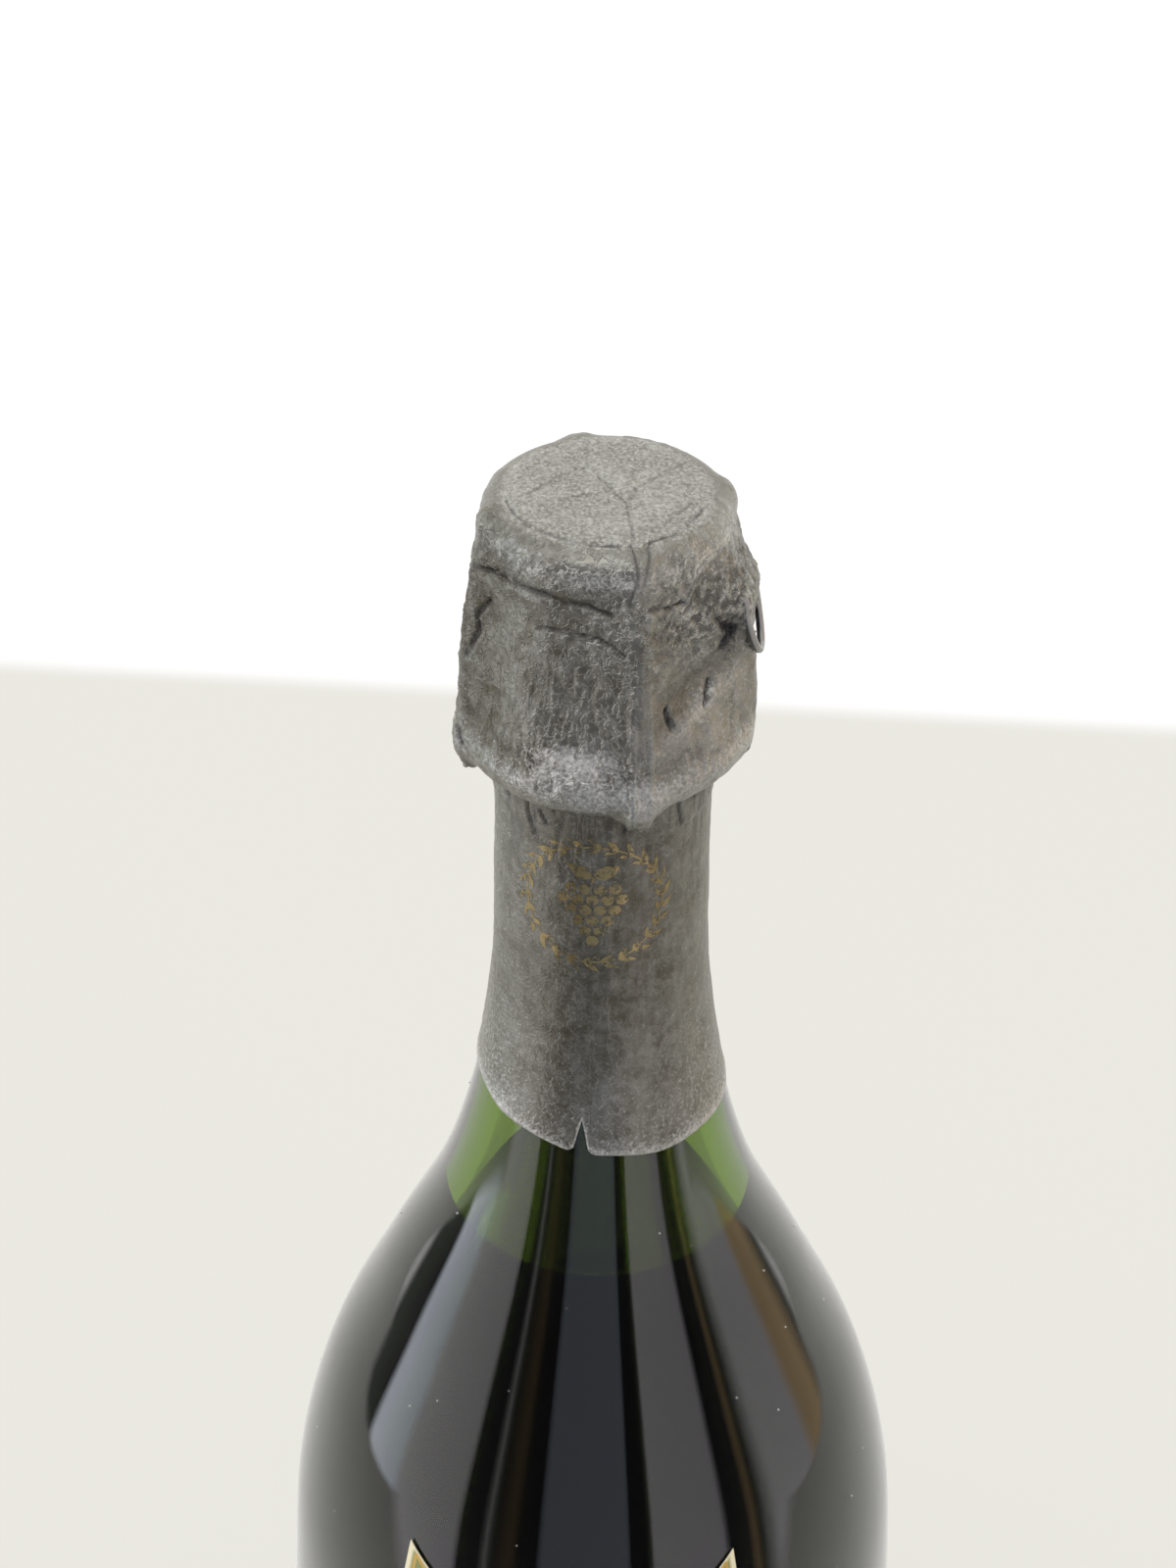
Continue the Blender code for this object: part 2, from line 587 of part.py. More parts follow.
def hood_stations():
    """Inside of the hood going down: height, radius between the legs, radius on a leg."""
    corner_radius, corner_height = CAP_RADIUS - CAP_ROUND, CAP_LEDGE - CAP_ROUND
    near = CAP_ROUND + GAP
    far = near + STRAND + GAP
    stations = [(HOOD_TOP, CAP_DISC_RADIUS, CAP_DISC_RADIUS)]
    wire_out = RING_RADIUS + STRAND / 2 + GAP
    stations.append((RING_HEIGHT + STRAND / 2 + GAP, RING_RADIUS, wire_out))
    for share in HOOD_CORNER_SHARES:
        height = corner_height + far * share
        reach = math.sqrt(max(0.0, near**2 - (height - corner_height) ** 2))
        base = max(wire_out + GAP, corner_radius + reach)
        leg = corner_radius + far * math.sqrt(1 - share**2)
        stations.append((height, base, leg))
    stations.append((corner_height, CAP_RADIUS + GAP, corner_radius + far))
    core = CAP_RADIUS + GAP
    leg_out = LEG_HALF + GAP
    stations.append((CAP_BOTTOM, core, corner_radius + far + GAP))
    stations.append((LEG_TOP, core, LEG_TOP_RADIUS + leg_out))
    collar = COLLAR_RADIUS + GAP
    wide = LEG_RADIUS + leg_out
    for share, hang in HOOD_HANG_SHARES:
        height = LEG_TOP + (COLLAR_TOP - LEG_TOP) * share
        base = core + (collar - core) * hang
        stations.append((height, base, leg_radius(height) + leg_out))
    stations.append((COLLAR_TOP + CAP_ROUND, collar, wide))
    waist = COLLAR_TOP - COLLAR_HEIGHT * HOOD_WAIST_SHARE
    stations.append((waist, (collar + HOOD_SKIRT_RADIUS) / 2, wide))
    stations.append((EYE_TOP, HOOD_SKIRT_RADIUS, wide))
    stations.append((BELT_HEIGHT + BELT_WIRE / 2, HOOD_ROLL_RADIUS, wide))
    stations.append((EYE_BOTTOM, HOOD_ROLL_RADIUS, wide))
    stations.append((HOOD_BOTTOM, HOOD_HEM_RADIUS, wide))
    return stations


def hood_radius(base, leg, belt, azimuth):
    """Foil drawn tight from a leg to the round core, and swollen where the belt comes out."""
    step = math.tau / LEG_COUNT
    turn = (azimuth - FIRST_LEG + step / 2) % step - step / 2
    touch = math.acos(min(1.0, base / leg))
    radius = base / math.cos(max(0.0, touch - abs(turn)))
    out = LEG_RADIUS + WEAVE + BELT_WIRE / 2 + GAP
    middle = EYE_WIDTH / 2 / LEG_RADIUS
    reach = BELT_SWELL_SHARE * middle
    share = max(0.0, min(1.0, 2.0 - abs(turn - middle) / reach))
    if belt:
        radius = max(radius, base + (out - base) * share)
    return radius


def make_hood(material):
    """The foil over the cap, cork and cage, down to the tear line under the belt."""
    rows = []
    for height, base, leg in reversed(hood_stations()):
        belt = height < EYE_TOP
        row = []
        for facet in range(HOOD_FACETS):
            azimuth = FIRST_LEG + math.tau * facet / HOOD_FACETS
            row.append(polar(hood_radius(base, leg, belt, azimuth), azimuth, height))
        rows.append(row)
    hood = skin("foil_hood", rows, FOIL, material, True, apex=(0, 0, HOOD_TOP))
    half_width = KEY_LOOP_WIDTH / 2 + BELT_WIRE / 2 + WINDOW_MARGIN
    half_length = KEY_HOOK_RADIUS + BELT_WIRE / 2 + WINDOW_MARGIN
    middle = KEY_LOOP_BOTTOM + KEY_RISE
    below = HOOD_BOTTOM - CUT_OVERRUN
    outline = [(-half_width, below), (half_width, below)]
    outline += quarter((0, middle), (half_width, half_length), 90, -90, 12)
    near = NECK_RADIUS
    far = LEG_RADIUS + CUT_OVERRUN
    cut_away(hood, radial_prism("hood_window", outline, KEY_AZIMUTH, near, far))
    return hood


def neck_foil_bottom(azimuth):
    """Height of the foil's lower edge, which sits a little askew."""
    side = NECK_FOIL_SIDE_TILT * math.sin(azimuth)
    return NECK_FOIL_BOTTOM - side - NECK_FOIL_FRONT_DIP * math.cos(azimuth)


def make_neck_foil(material):
    """The foil left on the neck: a flange under the hood's edge and a long sleeve."""
    outer = belly_outline()
    sleeve_top = FLANGE_TOP - FLANGE_SLOPE
    rows = []
    for share in SLEEVE_SHARES:
        row = []
        for facet in range(NECK_FOIL_FACETS):
            azimuth = math.tau * facet / NECK_FOIL_FACETS
            bottom = neck_foil_bottom(azimuth)
            height = bottom + (sleeve_top - bottom) * share
            row.append(polar(between(outer, height) + GAP, azimuth, height))
        rows.append(row)
    sleeve = NECK_RADIUS + GAP
    for out, up in FLANGE_SHARES:
        radius = sleeve + (FLANGE_RADIUS - sleeve) * out
        height = sleeve_top + (FLANGE_SLOPE - FOIL) * up
        facets = range(NECK_FOIL_FACETS)
        rows.append([polar(radius, math.tau * f / NECK_FOIL_FACETS, height) for f in facets])
    foil = skin("foil_neck", rows, FOIL, material, True)
    bottom = neck_foil_bottom(SLIT_AZIMUTH)
    widen = SLIT_WIDTH / 2 / SLIT_HEIGHT
    foot = SLIT_WIDTH / 2 + widen * CUT_OVERRUN
    outline = [(-foot, bottom - CUT_OVERRUN), (foot, bottom - CUT_OVERRUN)]
    outline.append((0.0, bottom + SLIT_HEIGHT))
    near, far = BORE_RADIUS, between(outer, bottom) + CUT_OVERRUN
    cut_away(foil, radial_prism("neck_foil_slit", outline, SLIT_AZIMUTH, near, far))
    return foil


def make_label(material):
    """A paper label that follows the body, with a scooped top edge."""
    outer = belly_outline()
    rows = []
    for row in range(LABEL_ROWS + 1):
        points = []
        for column in range(LABEL_COLUMNS + 1):
            across = 2 * column / LABEL_COLUMNS - 1
            skew = LABEL_SKEW * across
            top = LABEL_TOP - LABEL_SCOOP * (1 - across**2)
            height = LABEL_BOTTOM + (top - LABEL_BOTTOM) * row / LABEL_ROWS + skew
            azimuth = LABEL_AZIMUTH + across * LABEL_WIDTH / 2 / BODY_RADIUS
            points.append(polar(between(outer, height) + GAP, azimuth, height))
        rows.append(points)
    return skin("front_label", rows, PAPER, material, False)


def build():
    """Make every piece in an empty scene."""
    for leftover in list(bpy.data.objects):
        bpy.data.objects.remove(leftover, do_unlink=True)
    foil = plain_material("lead_foil", (0.155, 0.138, 0.112), 0.45, metallic=0.8)
    steel = plain_material("galvanised_wire", (0.60, 0.60, 0.60), 0.30, metallic=1.0)
    make_glass(plain_material("green_glass", (0.012, 0.035, 0.008), 0.05, transmission=0.8))
    make_wine(plain_material("wine", (0.62, 0.47, 0.12), 0.05, transmission=0.8))
    moulded = plain_material("moulded_cork", (0.48, 0.30, 0.15), 0.9)
    make_cork(moulded, plain_material("natural_cork", (0.56, 0.37, 0.20), 0.9))
    make_cap(plain_material("cap_lacquer", (0.30, 0.26, 0.17), 0.35, metallic=0.9))
    make_cage(steel)
    make_belt(steel)
    make_key(steel)
    make_hood(foil)
    make_neck_foil(foil)
    make_label(plain_material("label_paper", (0.33, 0.34, 0.12), 0.7))


build()
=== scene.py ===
# %% [markdown]
# # A corked bottle of sparkling wine
# The CAD frame holds every piece of the bottle at its real size, as plain faceted solids.
# This script gives them their looks: dark green glass with light falling through it, wine, and
# old foil that has been pressed over the cork and its wire cage by hand.
#
# Lengths are in metres, as in the frame, and most sizes are written in millimetres times MM.
# An azimuth is the angle around the bottle, from the front (-Y) towards the right (+X).

# %% The frame
import math

import bpy
import numpy as np
from mathutils import Matrix, Vector, noise


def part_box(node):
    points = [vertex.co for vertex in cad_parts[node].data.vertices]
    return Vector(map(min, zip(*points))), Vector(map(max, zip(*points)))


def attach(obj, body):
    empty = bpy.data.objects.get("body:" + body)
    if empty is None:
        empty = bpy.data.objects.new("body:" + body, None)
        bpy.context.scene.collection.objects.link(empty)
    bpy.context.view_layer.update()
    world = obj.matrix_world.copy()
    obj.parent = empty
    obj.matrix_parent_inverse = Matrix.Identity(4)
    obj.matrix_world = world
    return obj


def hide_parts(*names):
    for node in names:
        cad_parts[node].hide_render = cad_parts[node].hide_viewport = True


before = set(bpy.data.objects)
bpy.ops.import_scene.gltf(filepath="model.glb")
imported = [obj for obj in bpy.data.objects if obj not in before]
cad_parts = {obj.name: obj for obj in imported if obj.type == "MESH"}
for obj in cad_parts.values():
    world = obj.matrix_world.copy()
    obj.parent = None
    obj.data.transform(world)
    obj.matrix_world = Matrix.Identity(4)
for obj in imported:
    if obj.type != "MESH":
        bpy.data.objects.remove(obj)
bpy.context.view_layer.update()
bpy.context.scene.view_settings.view_transform = "Standard"
MM = 0.001
print("nodes:", ", ".join(sorted(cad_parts)))

# %% [markdown]
# ## Tools
# Colours are picked as sRGB hex values, and Blender's shaders work in linear light, so one
# function converts them. A second one adds a shader node with its settings and its links, and
# short ones over it add the kinds of node that the finishes need again and again.


# %% Tools: colours and nodes
def linear(code):
    """A linear colour with alpha from an sRGB hex value."""
    channels = [int(code[start : start + 2], 16) / 255 for start in (1, 3, 5)]
    return (*[c / 12.92 if c <= 0.04045 else ((c + 0.055) / 1.055) ** 2.4 for c in channels], 1.0)


def add_node(tree, kind, settings=None, values=None, links=None):
    """Add a node of a kind, set its settings and input values, and link its inputs."""
    node = tree.nodes.new("ShaderNode" + kind)
    for name, value in (settings or {}).items():
        setattr(node, name, value)
    for name, value in (values or {}).items():
        node.inputs[name].default_value = value
    for name, socket in (links or {}).items():
        tree.links.new(socket, node.inputs[name])
    return node


def new_material(name, **values):
    """A material with its Principled shader set to constant values, and its node tree."""
    material = bpy.data.materials.new(name)
    material.use_nodes = True
    shader = material.node_tree.nodes["Principled BSDF"]
    for label, value in values.items():
        shader.inputs[label.replace("_", " ")].default_value = value
    return material, material.node_tree, shader


# %% Tools: common nodes
def combine(tree, operation, *terms):
    """The result of a Math node, whose terms are numbers or sockets."""
    numbers = {place: term for place, term in enumerate(terms) if isinstance(term, (int, float))}
    sockets = {place: term for place, term in enumerate(terms) if place not in numbers}
    return add_node(tree, "Math", {"operation": operation}, numbers, sockets).outputs[0]


def remap(tree, value, low, high, new_low=0.0, new_high=1.0, smooth=False):
    """A socket's value, moved from the range low to high into a new range, and kept inside it."""
    settings = {"interpolation_type": "SMOOTHSTEP" if smooth else "LINEAR"}
    ends = {"From Min": low, "From Max": high, "To Min": new_low, "To Max": new_high}
    return add_node(tree, "MapRange", settings, ends, {"Value": value}).outputs["Result"]


def mix_colours(tree, share, first, second):
    """The colour between two, each a hex value or a socket, at a share that is a socket."""
    ends = {6: first, 7: second}
    fixed = {place: linear(end) for place, end in ends.items() if isinstance(end, str)}
    linked = {place: end for place, end in ends.items() if place not in fixed}
    return add_node(tree, "Mix", {"data_type": "RGBA"}, fixed, {0: share, **linked}).outputs[2]


def two_tones(tree, value, low, high):
    """The colour between two pairs of a position and a hex value, as a socket's value grows."""
    tones = add_node(tree, "ValToRGB", links={0: value})
    for stop, (position, code) in zip(tones.color_ramp.elements, (low, high)):
        stop.position = position
        stop.color = linear(code)
    return tones.outputs[0]


def add_noise(tree, spot, scale, detail=2.0, **more):
    """The value of a noise pattern at a place on the piece."""
    values = {"Scale": scale, "Detail": detail, **more}
    return add_node(tree, "TexNoise", values=values, links={"Vector": spot}).outputs["Fac"]


# %% Tools: objects
def put_in_scene(name, data):
    """A new object that holds a mesh, curve, lamp or camera, linked to the scene."""
    thing = bpy.data.objects.new(name, data)
    bpy.context.scene.collection.objects.link(thing)
    return thing


def select_only(piece):
    """Select one object and make it active, because operators act on all that is selected."""
    bpy.ops.object.select_all(action="DESELECT")
    piece.select_set(True)
    bpy.context.view_layer.objects.active = piece


# %% [markdown]
# A turned piece is drawn as half an outline, one extruded point after the other, and then spun
# round the axis, which is how a lathe or a bottle mould would describe it.


# %% Tools: turned pieces
def smooth_curve(points, steps):
    """Points on a Catmull-Rom curve through the given points."""
    given = np.array([points[0], *points, points[-1]], float)
    t = np.linspace(0, 1, steps, endpoint=False)[:, None]
    curve = []
    for before, start, end, after in zip(given, given[1:], given[2:], given[3:]):
        curve.append(
            (2 * start + (end - before) * t + (2 * before - 5 * start + 4 * end - after) * t**2
             + (3 * start - before - 3 * end + after) * t**3) / 2
        )
    return np.vstack([*curve, given[-1:]])


def arc(centre, radius, start, end, steps):
    """Points on an arc about (radius, height), by angles in degrees from straight up."""
    angles = np.radians(np.linspace(start, end, steps + 1))
    reach = np.broadcast_to(radius, 2)
    return [(centre[0] + reach[0] * math.sin(a), centre[1] + reach[1] * math.cos(a))
            for a in angles]


def turned(name, outline, steps, material):
    """Extrude a point along a (radius, height) outline and spin it round the bottle's axis."""
    bpy.ops.object.select_all(action="DESELECT")
    bpy.ops.mesh.primitive_plane_add(size=MM)
    piece = bpy.context.object
    piece.name = piece.data.name = name
    bpy.ops.object.mode_set(mode="EDIT")
    bpy.ops.mesh.merge(type="CENTER")
    bpy.ops.transform.translate(value=(outline[0][0], 0, outline[0][1]))
    for (radius_a, height_a), (radius_b, height_b) in zip(outline, outline[1:]):
        move = {"value": (radius_b - radius_a, 0, height_b - height_a)}
        bpy.ops.mesh.extrude_region_move(TRANSFORM_OT_translate=move)
    bpy.ops.mesh.select_all(action="SELECT")
    bpy.ops.mesh.spin(steps=steps, angle=math.tau, center=(0, 0, 0), axis=(0, 0, 1))
    bpy.ops.mesh.select_all(action="SELECT")
    bpy.ops.mesh.remove_doubles(threshold=0.003 * MM)
    bpy.ops.mesh.normals_make_consistent(inside=False)
    bpy.ops.object.mode_set(mode="OBJECT")
    bpy.ops.object.shade_smooth_by_angle(angle=math.radians(40))
    piece.data.materials.clear()
    piece.data.materials.append(material)
    print(f"{name}: {len(piece.data.polygons)} faces")
    return piece


# %% [markdown]
# ## The camera and the room
# The picture looks down on the head of the bottle from close by, through a long phone lens. The
# camera's place, tilt and small roll were worked out from the outline of the bottle.

# %% The camera
FOCAL_PIXELS = 3000
FRAME_HEIGHT_PIXELS = 1600
SENSOR = 36.0
CAMERA_PLACE = Vector((0.0, -298.8, 494.8)) * MM
CAMERA_TILT = math.radians(37.46)
CAMERA_YAW = math.radians(-0.37)
CAMERA_ROLL = math.radians(0.62)

forward = Vector((math.sin(CAMERA_YAW) * math.cos(CAMERA_TILT),
                  math.cos(CAMERA_YAW) * math.cos(CAMERA_TILT), -math.sin(CAMERA_TILT)))
level = Vector((math.cos(CAMERA_YAW), -math.sin(CAMERA_YAW), 0))
upward = level.cross(forward)
right = math.cos(CAMERA_ROLL) * level + math.sin(CAMERA_ROLL) * upward
upward = math.cos(CAMERA_ROLL) * upward - math.sin(CAMERA_ROLL) * level
lens = bpy.data.cameras.new("camera")
lens.sensor_width = SENSOR
lens.lens = FOCAL_PIXELS / FRAME_HEIGHT_PIXELS * SENSOR
lens.clip_start = 10 * MM
camera = put_in_scene("camera", lens)
turn = Matrix((right, upward, -forward)).transposed()
camera.matrix_world = Matrix.Translation(CAMERA_PLACE) @ turn.to_4x4()
bpy.context.scene.camera = camera
print(f"camera: {lens.lens:.1f} mm lens on a {SENSOR} mm sensor")

# %% [markdown]
# The table is pale and runs into a white wall some way behind the bottle. One big plane shows
# both: its colour changes along a line, softly, as in a picture whose background is out of
# focus. To the camera, and to what glass and metal mirror, a part of the colour is plain light.
# Mirrored rays also pass the table's near edge and its ends, where the room goes on below it.

# %% The table and the wall
FLOOR_SIZE = 6.0
TABLE_COLOUR = "#e3e2db"
WALL_COLOUR = "#fdfdfd"
TABLE_DEPTH = 0.388
TABLE_BLUR = 0.006
TABLE_SKEW = 0.070
FLOOR_GLOW = 0.80
TABLE_FRONT = 0.13
TABLE_SIDE = 0.48
TABLE_END_BLUR = 0.03

bpy.ops.object.select_all(action="DESELECT")
bpy.ops.mesh.primitive_plane_add(size=FLOOR_SIZE)
floor = bpy.context.object
floor.name = "floor"
floor_finish, tree, shader = new_material("matte_table_and_wall", Roughness=0.85)
floor.data.materials.append(floor_finish)
place = add_node(tree, "TexCoord").outputs["Object"]
axes = add_node(tree, "SeparateXYZ", links={0: place})
skewed = combine(tree, "MULTIPLY_ADD", axes.outputs["X"], TABLE_SKEW, axes.outputs["Y"])
far_side = remap(tree, skewed, TABLE_DEPTH - TABLE_BLUR, TABLE_DEPTH + TABLE_BLUR, smooth=True)
colour = mix_colours(tree, far_side, TABLE_COLOUR, WALL_COLOUR)
tree.links.new(colour, shader.inputs["Base Color"])
glow = add_node(tree, "Emission", links={"Color": colour})
path = add_node(tree, "LightPath")
seen = combine(tree, "MAXIMUM", path.outputs["Is Camera Ray"], path.outputs["Is Transmission Ray"])
seen = combine(tree, "MAXIMUM", seen, path.outputs["Is Glossy Ray"])
part = remap(tree, seen, 0.0, 1.0, 0.0, FLOOR_GLOW)
lit = add_node(tree, "MixShader", links={0: part, 1: shader.outputs[0], 2: glow.outputs[0]})

# %% The table's ends
ahead = combine(tree, "MULTIPLY_ADD", axes.outputs["Y"], -1.0, -TABLE_FRONT)
aside = combine(tree, "SUBTRACT", combine(tree, "ABSOLUTE", axes.outputs["X"]), TABLE_SIDE)
off_table = combine(tree, "MAXIMUM", ahead, aside)
ended = remap(tree, off_table, -TABLE_END_BLUR, TABLE_END_BLUR, smooth=True)
past = combine(tree, "MULTIPLY", ended, path.outputs["Is Glossy Ray"])
clear = add_node(tree, "BsdfTransparent")
surface = add_node(tree, "MixShader", links={0: past, 1: lit.outputs[0], 2: clear.outputs[0]})
tree.links.new(surface.outputs[0], tree.nodes["Material Output"].inputs["Surface"])
print(f"floor: {FLOOR_SIZE} m wide, {len(tree.nodes)} nodes in its finish")

# %% [markdown]
# The room is what gives dark glass its shape, because dark glass shows little but reflections.
# Its brightness is drawn as bands by the direction around the bottle: a white wall behind, tall
# bright windows to the left, a dim middle where the camera stands, and furniture to the right.

# %% The room
WALL, WINDOW, DOOR, COAT, WOOD, BLACK = (
    "#fbfaf7", "#e9f0fb", "#f1ecf1", "#aab1c1", "#d2b183", "#f0f2f8")
ROOM_BANDS = (  # degrees from the front (the camera's side) to the right, brightness, colour
    (-180, 1.35, WALL), (-116, 2.10, WALL), (-112, 0.03, BLACK), (-98, 0.03, BLACK),
    (-95, 4.2, WINDOW), (-80, 3.2, WINDOW), (-76, 2.2, DOOR), (-50, 1.8, DOOR),
    (-48, 0.05, BLACK), (-40, 0.05, BLACK), (-38, 0.80, WALL), (-36, 0.05, BLACK),
    (-29, 0.40, WOOD), (-26, 0.04, BLACK), (-19, 0.04, BLACK), (-18, 1.30, COAT),
    (13, 1.40, COAT), (14, 0.04, BLACK), (21, 0.04, BLACK), (22, 1.75, DOOR), (48, 1.55, DOOR),
    (50, 0.03, BLACK), (58, 0.05, BLACK), (60, 1.1, WOOD), (63, 0.04, BLACK),
    (71, 1.9, DOOR), (90, 1.5, DOOR), (95, 1.9, WOOD), (104, 1.9, WOOD),
    (112, 0.03, BLACK), (116, 1.80, WALL), (180, 1.25, WALL),
)
CEILING_LIGHT = 1.35
CEILING_START = 0.76
CEILING_END = 0.88

world = bpy.data.worlds.new("room")
bpy.context.scene.world = world
world.use_nodes = True
tree = world.node_tree
place = add_node(tree, "TexCoord").outputs["Generated"]
axes = add_node(tree, "SeparateXYZ", links={0: place})
toward = combine(tree, "MULTIPLY", axes.outputs["Y"], -1.0)
around = combine(tree, "ARCTAN2", axes.outputs["X"], toward)
around = remap(tree, around, -math.pi, math.pi)
bands = add_node(tree, "ValToRGB", links={0: around})
ramp = bands.color_ramp
brightest = max(value for _, value, _ in ROOM_BANDS)
for index, (degrees, value, colour) in enumerate(ROOM_BANDS):
    position = (degrees + 180) / 360
    stop = ramp.elements[index] if index < 2 else ramp.elements.new(position)
    stop.position = position
    stop.color = (*[channel * value / brightest for channel in linear(colour)[:3]], 1.0)
lit = add_node(tree, "VectorMath", {"operation": "SCALE"}, {"Scale": brightest},
               {0: bands.outputs[0]})
overhead = remap(tree, axes.outputs["Z"], CEILING_START, CEILING_END, smooth=True)
room = add_node(tree, "Mix", {"data_type": "RGBA"}, {7: (*[CEILING_LIGHT] * 3, 1.0)},
                {0: overhead, 6: lit.outputs[0]})
by_camera = add_node(tree, "LightPath").outputs["Is Camera Ray"]
seen = mix_colours(tree, by_camera, room.outputs[2], WALL_COLOUR)
tree.links.new(seen, tree.nodes["Background"].inputs["Color"])
print(f"room: {len(ramp.elements)} bands, brightest {brightest}")

# %% [markdown]
# One soft lamp above and to the left of the camera adds the gloss on the foil and the shadow
# under the bottle. It is big, so that the shadow's edge is soft.

# %% The lamp
LAMP_PLACE = Vector((-0.25, -0.55, 1.35))
LAMP_AIM = Vector((0.0, 0.0, 0.25))
LAMP_SIZE = 0.5
LAMP_POWER = 3.2
lamp = put_in_scene("ceiling_lamp", bpy.data.lights.new("ceiling_lamp", "AREA"))
lamp.data.size = LAMP_SIZE
lamp.data.energy = LAMP_POWER
lamp.location = LAMP_PLACE
lamp.rotation_euler = (LAMP_AIM - LAMP_PLACE).to_track_quat("-Z", "Y").to_euler()
print(f"lamp: {LAMP_POWER} W, {(LAMP_AIM - LAMP_PLACE).length:.2f} m away")

# %% [markdown]
# ## The glass
# Sparkling wine keeps in thick green glass, coloured by iron and chrome, which is almost black
# where it is full and yellow-green where light crosses an empty part. The colour comes from the
# length of glass that the light crosses, so it is set as absorption in the glass's volume, and
# the surface itself stays clear and smooth, as blown glass is.

# %% Glass sizes
_, glass_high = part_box("glass_bottle")
GLASS_HEIGHT = glass_high.z
BODY_RADIUS = glass_high.x
WIDEST_HEIGHT = 114.5 * MM
NECK_RADIUS = 13.45 * MM
SHOULDER_SHARES = (
    (0.0, 1.0), (0.137, 0.9455), (0.26, 0.795), (0.382, 0.535), (0.505, 0.2635),
    (0.627, 0.105), (0.75, 0.022), (0.875, 0.004), (1.0, 0.0),
)
HEEL_RADIUS = 44.1 * MM
HEEL_HEIGHT = 13.0 * MM
STANDING_RADIUS = 36.2 * MM
FOOT_RADIUS = 33.2 * MM
PUNT_HEIGHT = 30.0 * MM
PUNT_THICKNESS = 6.5 * MM
BASE_THICKNESS = 8.0 * MM
PUNT_SHARES = ((1.0, 0.0), (0.94, 0.17), (0.8, 0.45), (0.62, 0.7), (0.4, 0.88), (0.0, 1.0))
BODY_WALL = 5.1 * MM
BORE_RADIUS = 8.9 * MM
COLLAR_RADIUS = 16.0 * MM
COLLAR_BOTTOM = 277.6 * MM
COLLAR_TOP = 285.6 * MM
COLLAR_ROUND = 1.1 * MM
LIP_RADIUS = 14.3 * MM
LIP_BOTTOM = 288.4 * MM
LIP_ROUND = 1.2 * MM
GROOVE_RADIUS = 13.6 * MM
MOUTH_ROUND = 0.8 * MM
GLASS_STEPS = 160
BODY_STEPS = 10
DOME_POINTS = 12  # points on the punt's dome, which the search for the cavity's side leaves out


def belly_outline():
    """Outer side of the glass from the heel up to the collar."""
    turns = np.linspace(0, 1, BODY_STEPS, endpoint=False)
    lower = np.column_stack([
        HEEL_RADIUS + (BODY_RADIUS - HEEL_RADIUS) * np.sin(turns * math.pi / 2),
        HEEL_HEIGHT + (WIDEST_HEIGHT - HEEL_HEIGHT) * turns,
    ])
    rise, swell = COLLAR_BOTTOM - WIDEST_HEIGHT, BODY_RADIUS - NECK_RADIUS
    shoulder = [(NECK_RADIUS + swell * out, WIDEST_HEIGHT + rise * up)
                for up, out in SHOULDER_SHARES]
    return np.vstack([lower, smooth_curve(shoulder, 6)])


def cavity_outline():
    """Inner side of the glass from the top of the punt up to the bore."""
    outer = belly_outline()
    share = np.clip((outer[:, 1] - WIDEST_HEIGHT) / (COLLAR_BOTTOM - WIDEST_HEIGHT), 0, 1)
    wall = BODY_WALL + (NECK_RADIUS - BORE_RADIUS - BODY_WALL) * share
    slope = np.gradient(outer, axis=0)
    slope /= np.linalg.norm(slope, axis=1)[:, None]
    inner = outer + np.column_stack([-slope[:, 1], slope[:, 0]]) * wall[:, None]
    dome = PUNT_HEIGHT + PUNT_THICKNESS - BASE_THICKNESS
    rise = smooth_curve(PUNT_SHARES[::-1], 4)
    floor_points = [(FOOT_RADIUS * out, BASE_THICKNESS + dome * up) for out, up in rise]
    reach = (inner[0, 0] - FOOT_RADIUS, HEEL_HEIGHT - BASE_THICKNESS)
    trough = arc((FOOT_RADIUS, HEEL_HEIGHT), reach, 180, 90, 8)
    return [*floor_points, *trough[1:], *map(tuple, inner[1:])]


print(f"glass: {GLASS_HEIGHT / MM:.0f} mm high, {2 * BODY_RADIUS / MM:.0f} mm wide")

# %% Glass: finish
GLASS_THROUGH = "#b2c85a"  # white light after 5 mm of it
GLASS_DEPTH = 5.0 * MM
GLASS_DENSITY = 600.0
GLASS_HAZE = 0.35  # a film of dust, which shows where the glass turns away
WET_REFLECTION = (0.1, 0.1, 0.1, 1.0)  # glass mirrors a tenth as much against wine as against air


def tint_inside(tree, through, depth, density):
    """Absorption inside a clear piece that gives white light a colour after a depth."""
    stain = [1 + math.log(channel) / depth / density for channel in linear(through)[:3]]
    absorb = add_node(tree, "VolumeAbsorption",
                      values={"Color": (*stain, 1.0), "Density": density})
    tree.links.new(absorb.outputs[0], tree.nodes["Material Output"].inputs["Volume"])


bottle_glass, tree, shader = new_material(
    "blown_dark_green_glass", Base_Color=(1, 1, 1, 1), Roughness=0.0, IOR=1.52,
    Transmission_Weight=1.0, Sheen_Weight=GLASS_HAZE, Sheen_Roughness=0.35)
tint_inside(tree, GLASS_THROUGH, GLASS_DEPTH, GLASS_DENSITY)

wet_glass = bottle_glass.copy()
wet_glass.name = "dark_green_glass_wetted_by_wine"
wet_shader = wet_glass.node_tree.nodes["Principled BSDF"]
wet_shader.inputs["Specular Tint"].default_value = WET_REFLECTION
wet_shader.inputs["Sheen Weight"].default_value = 0.0
print("glass finishes:", bottle_glass.name, "and", wet_glass.name)

# %% Glass: shape
WINE_LEVEL = 194.1 * MM
WET_REACH = 1.0 * MM

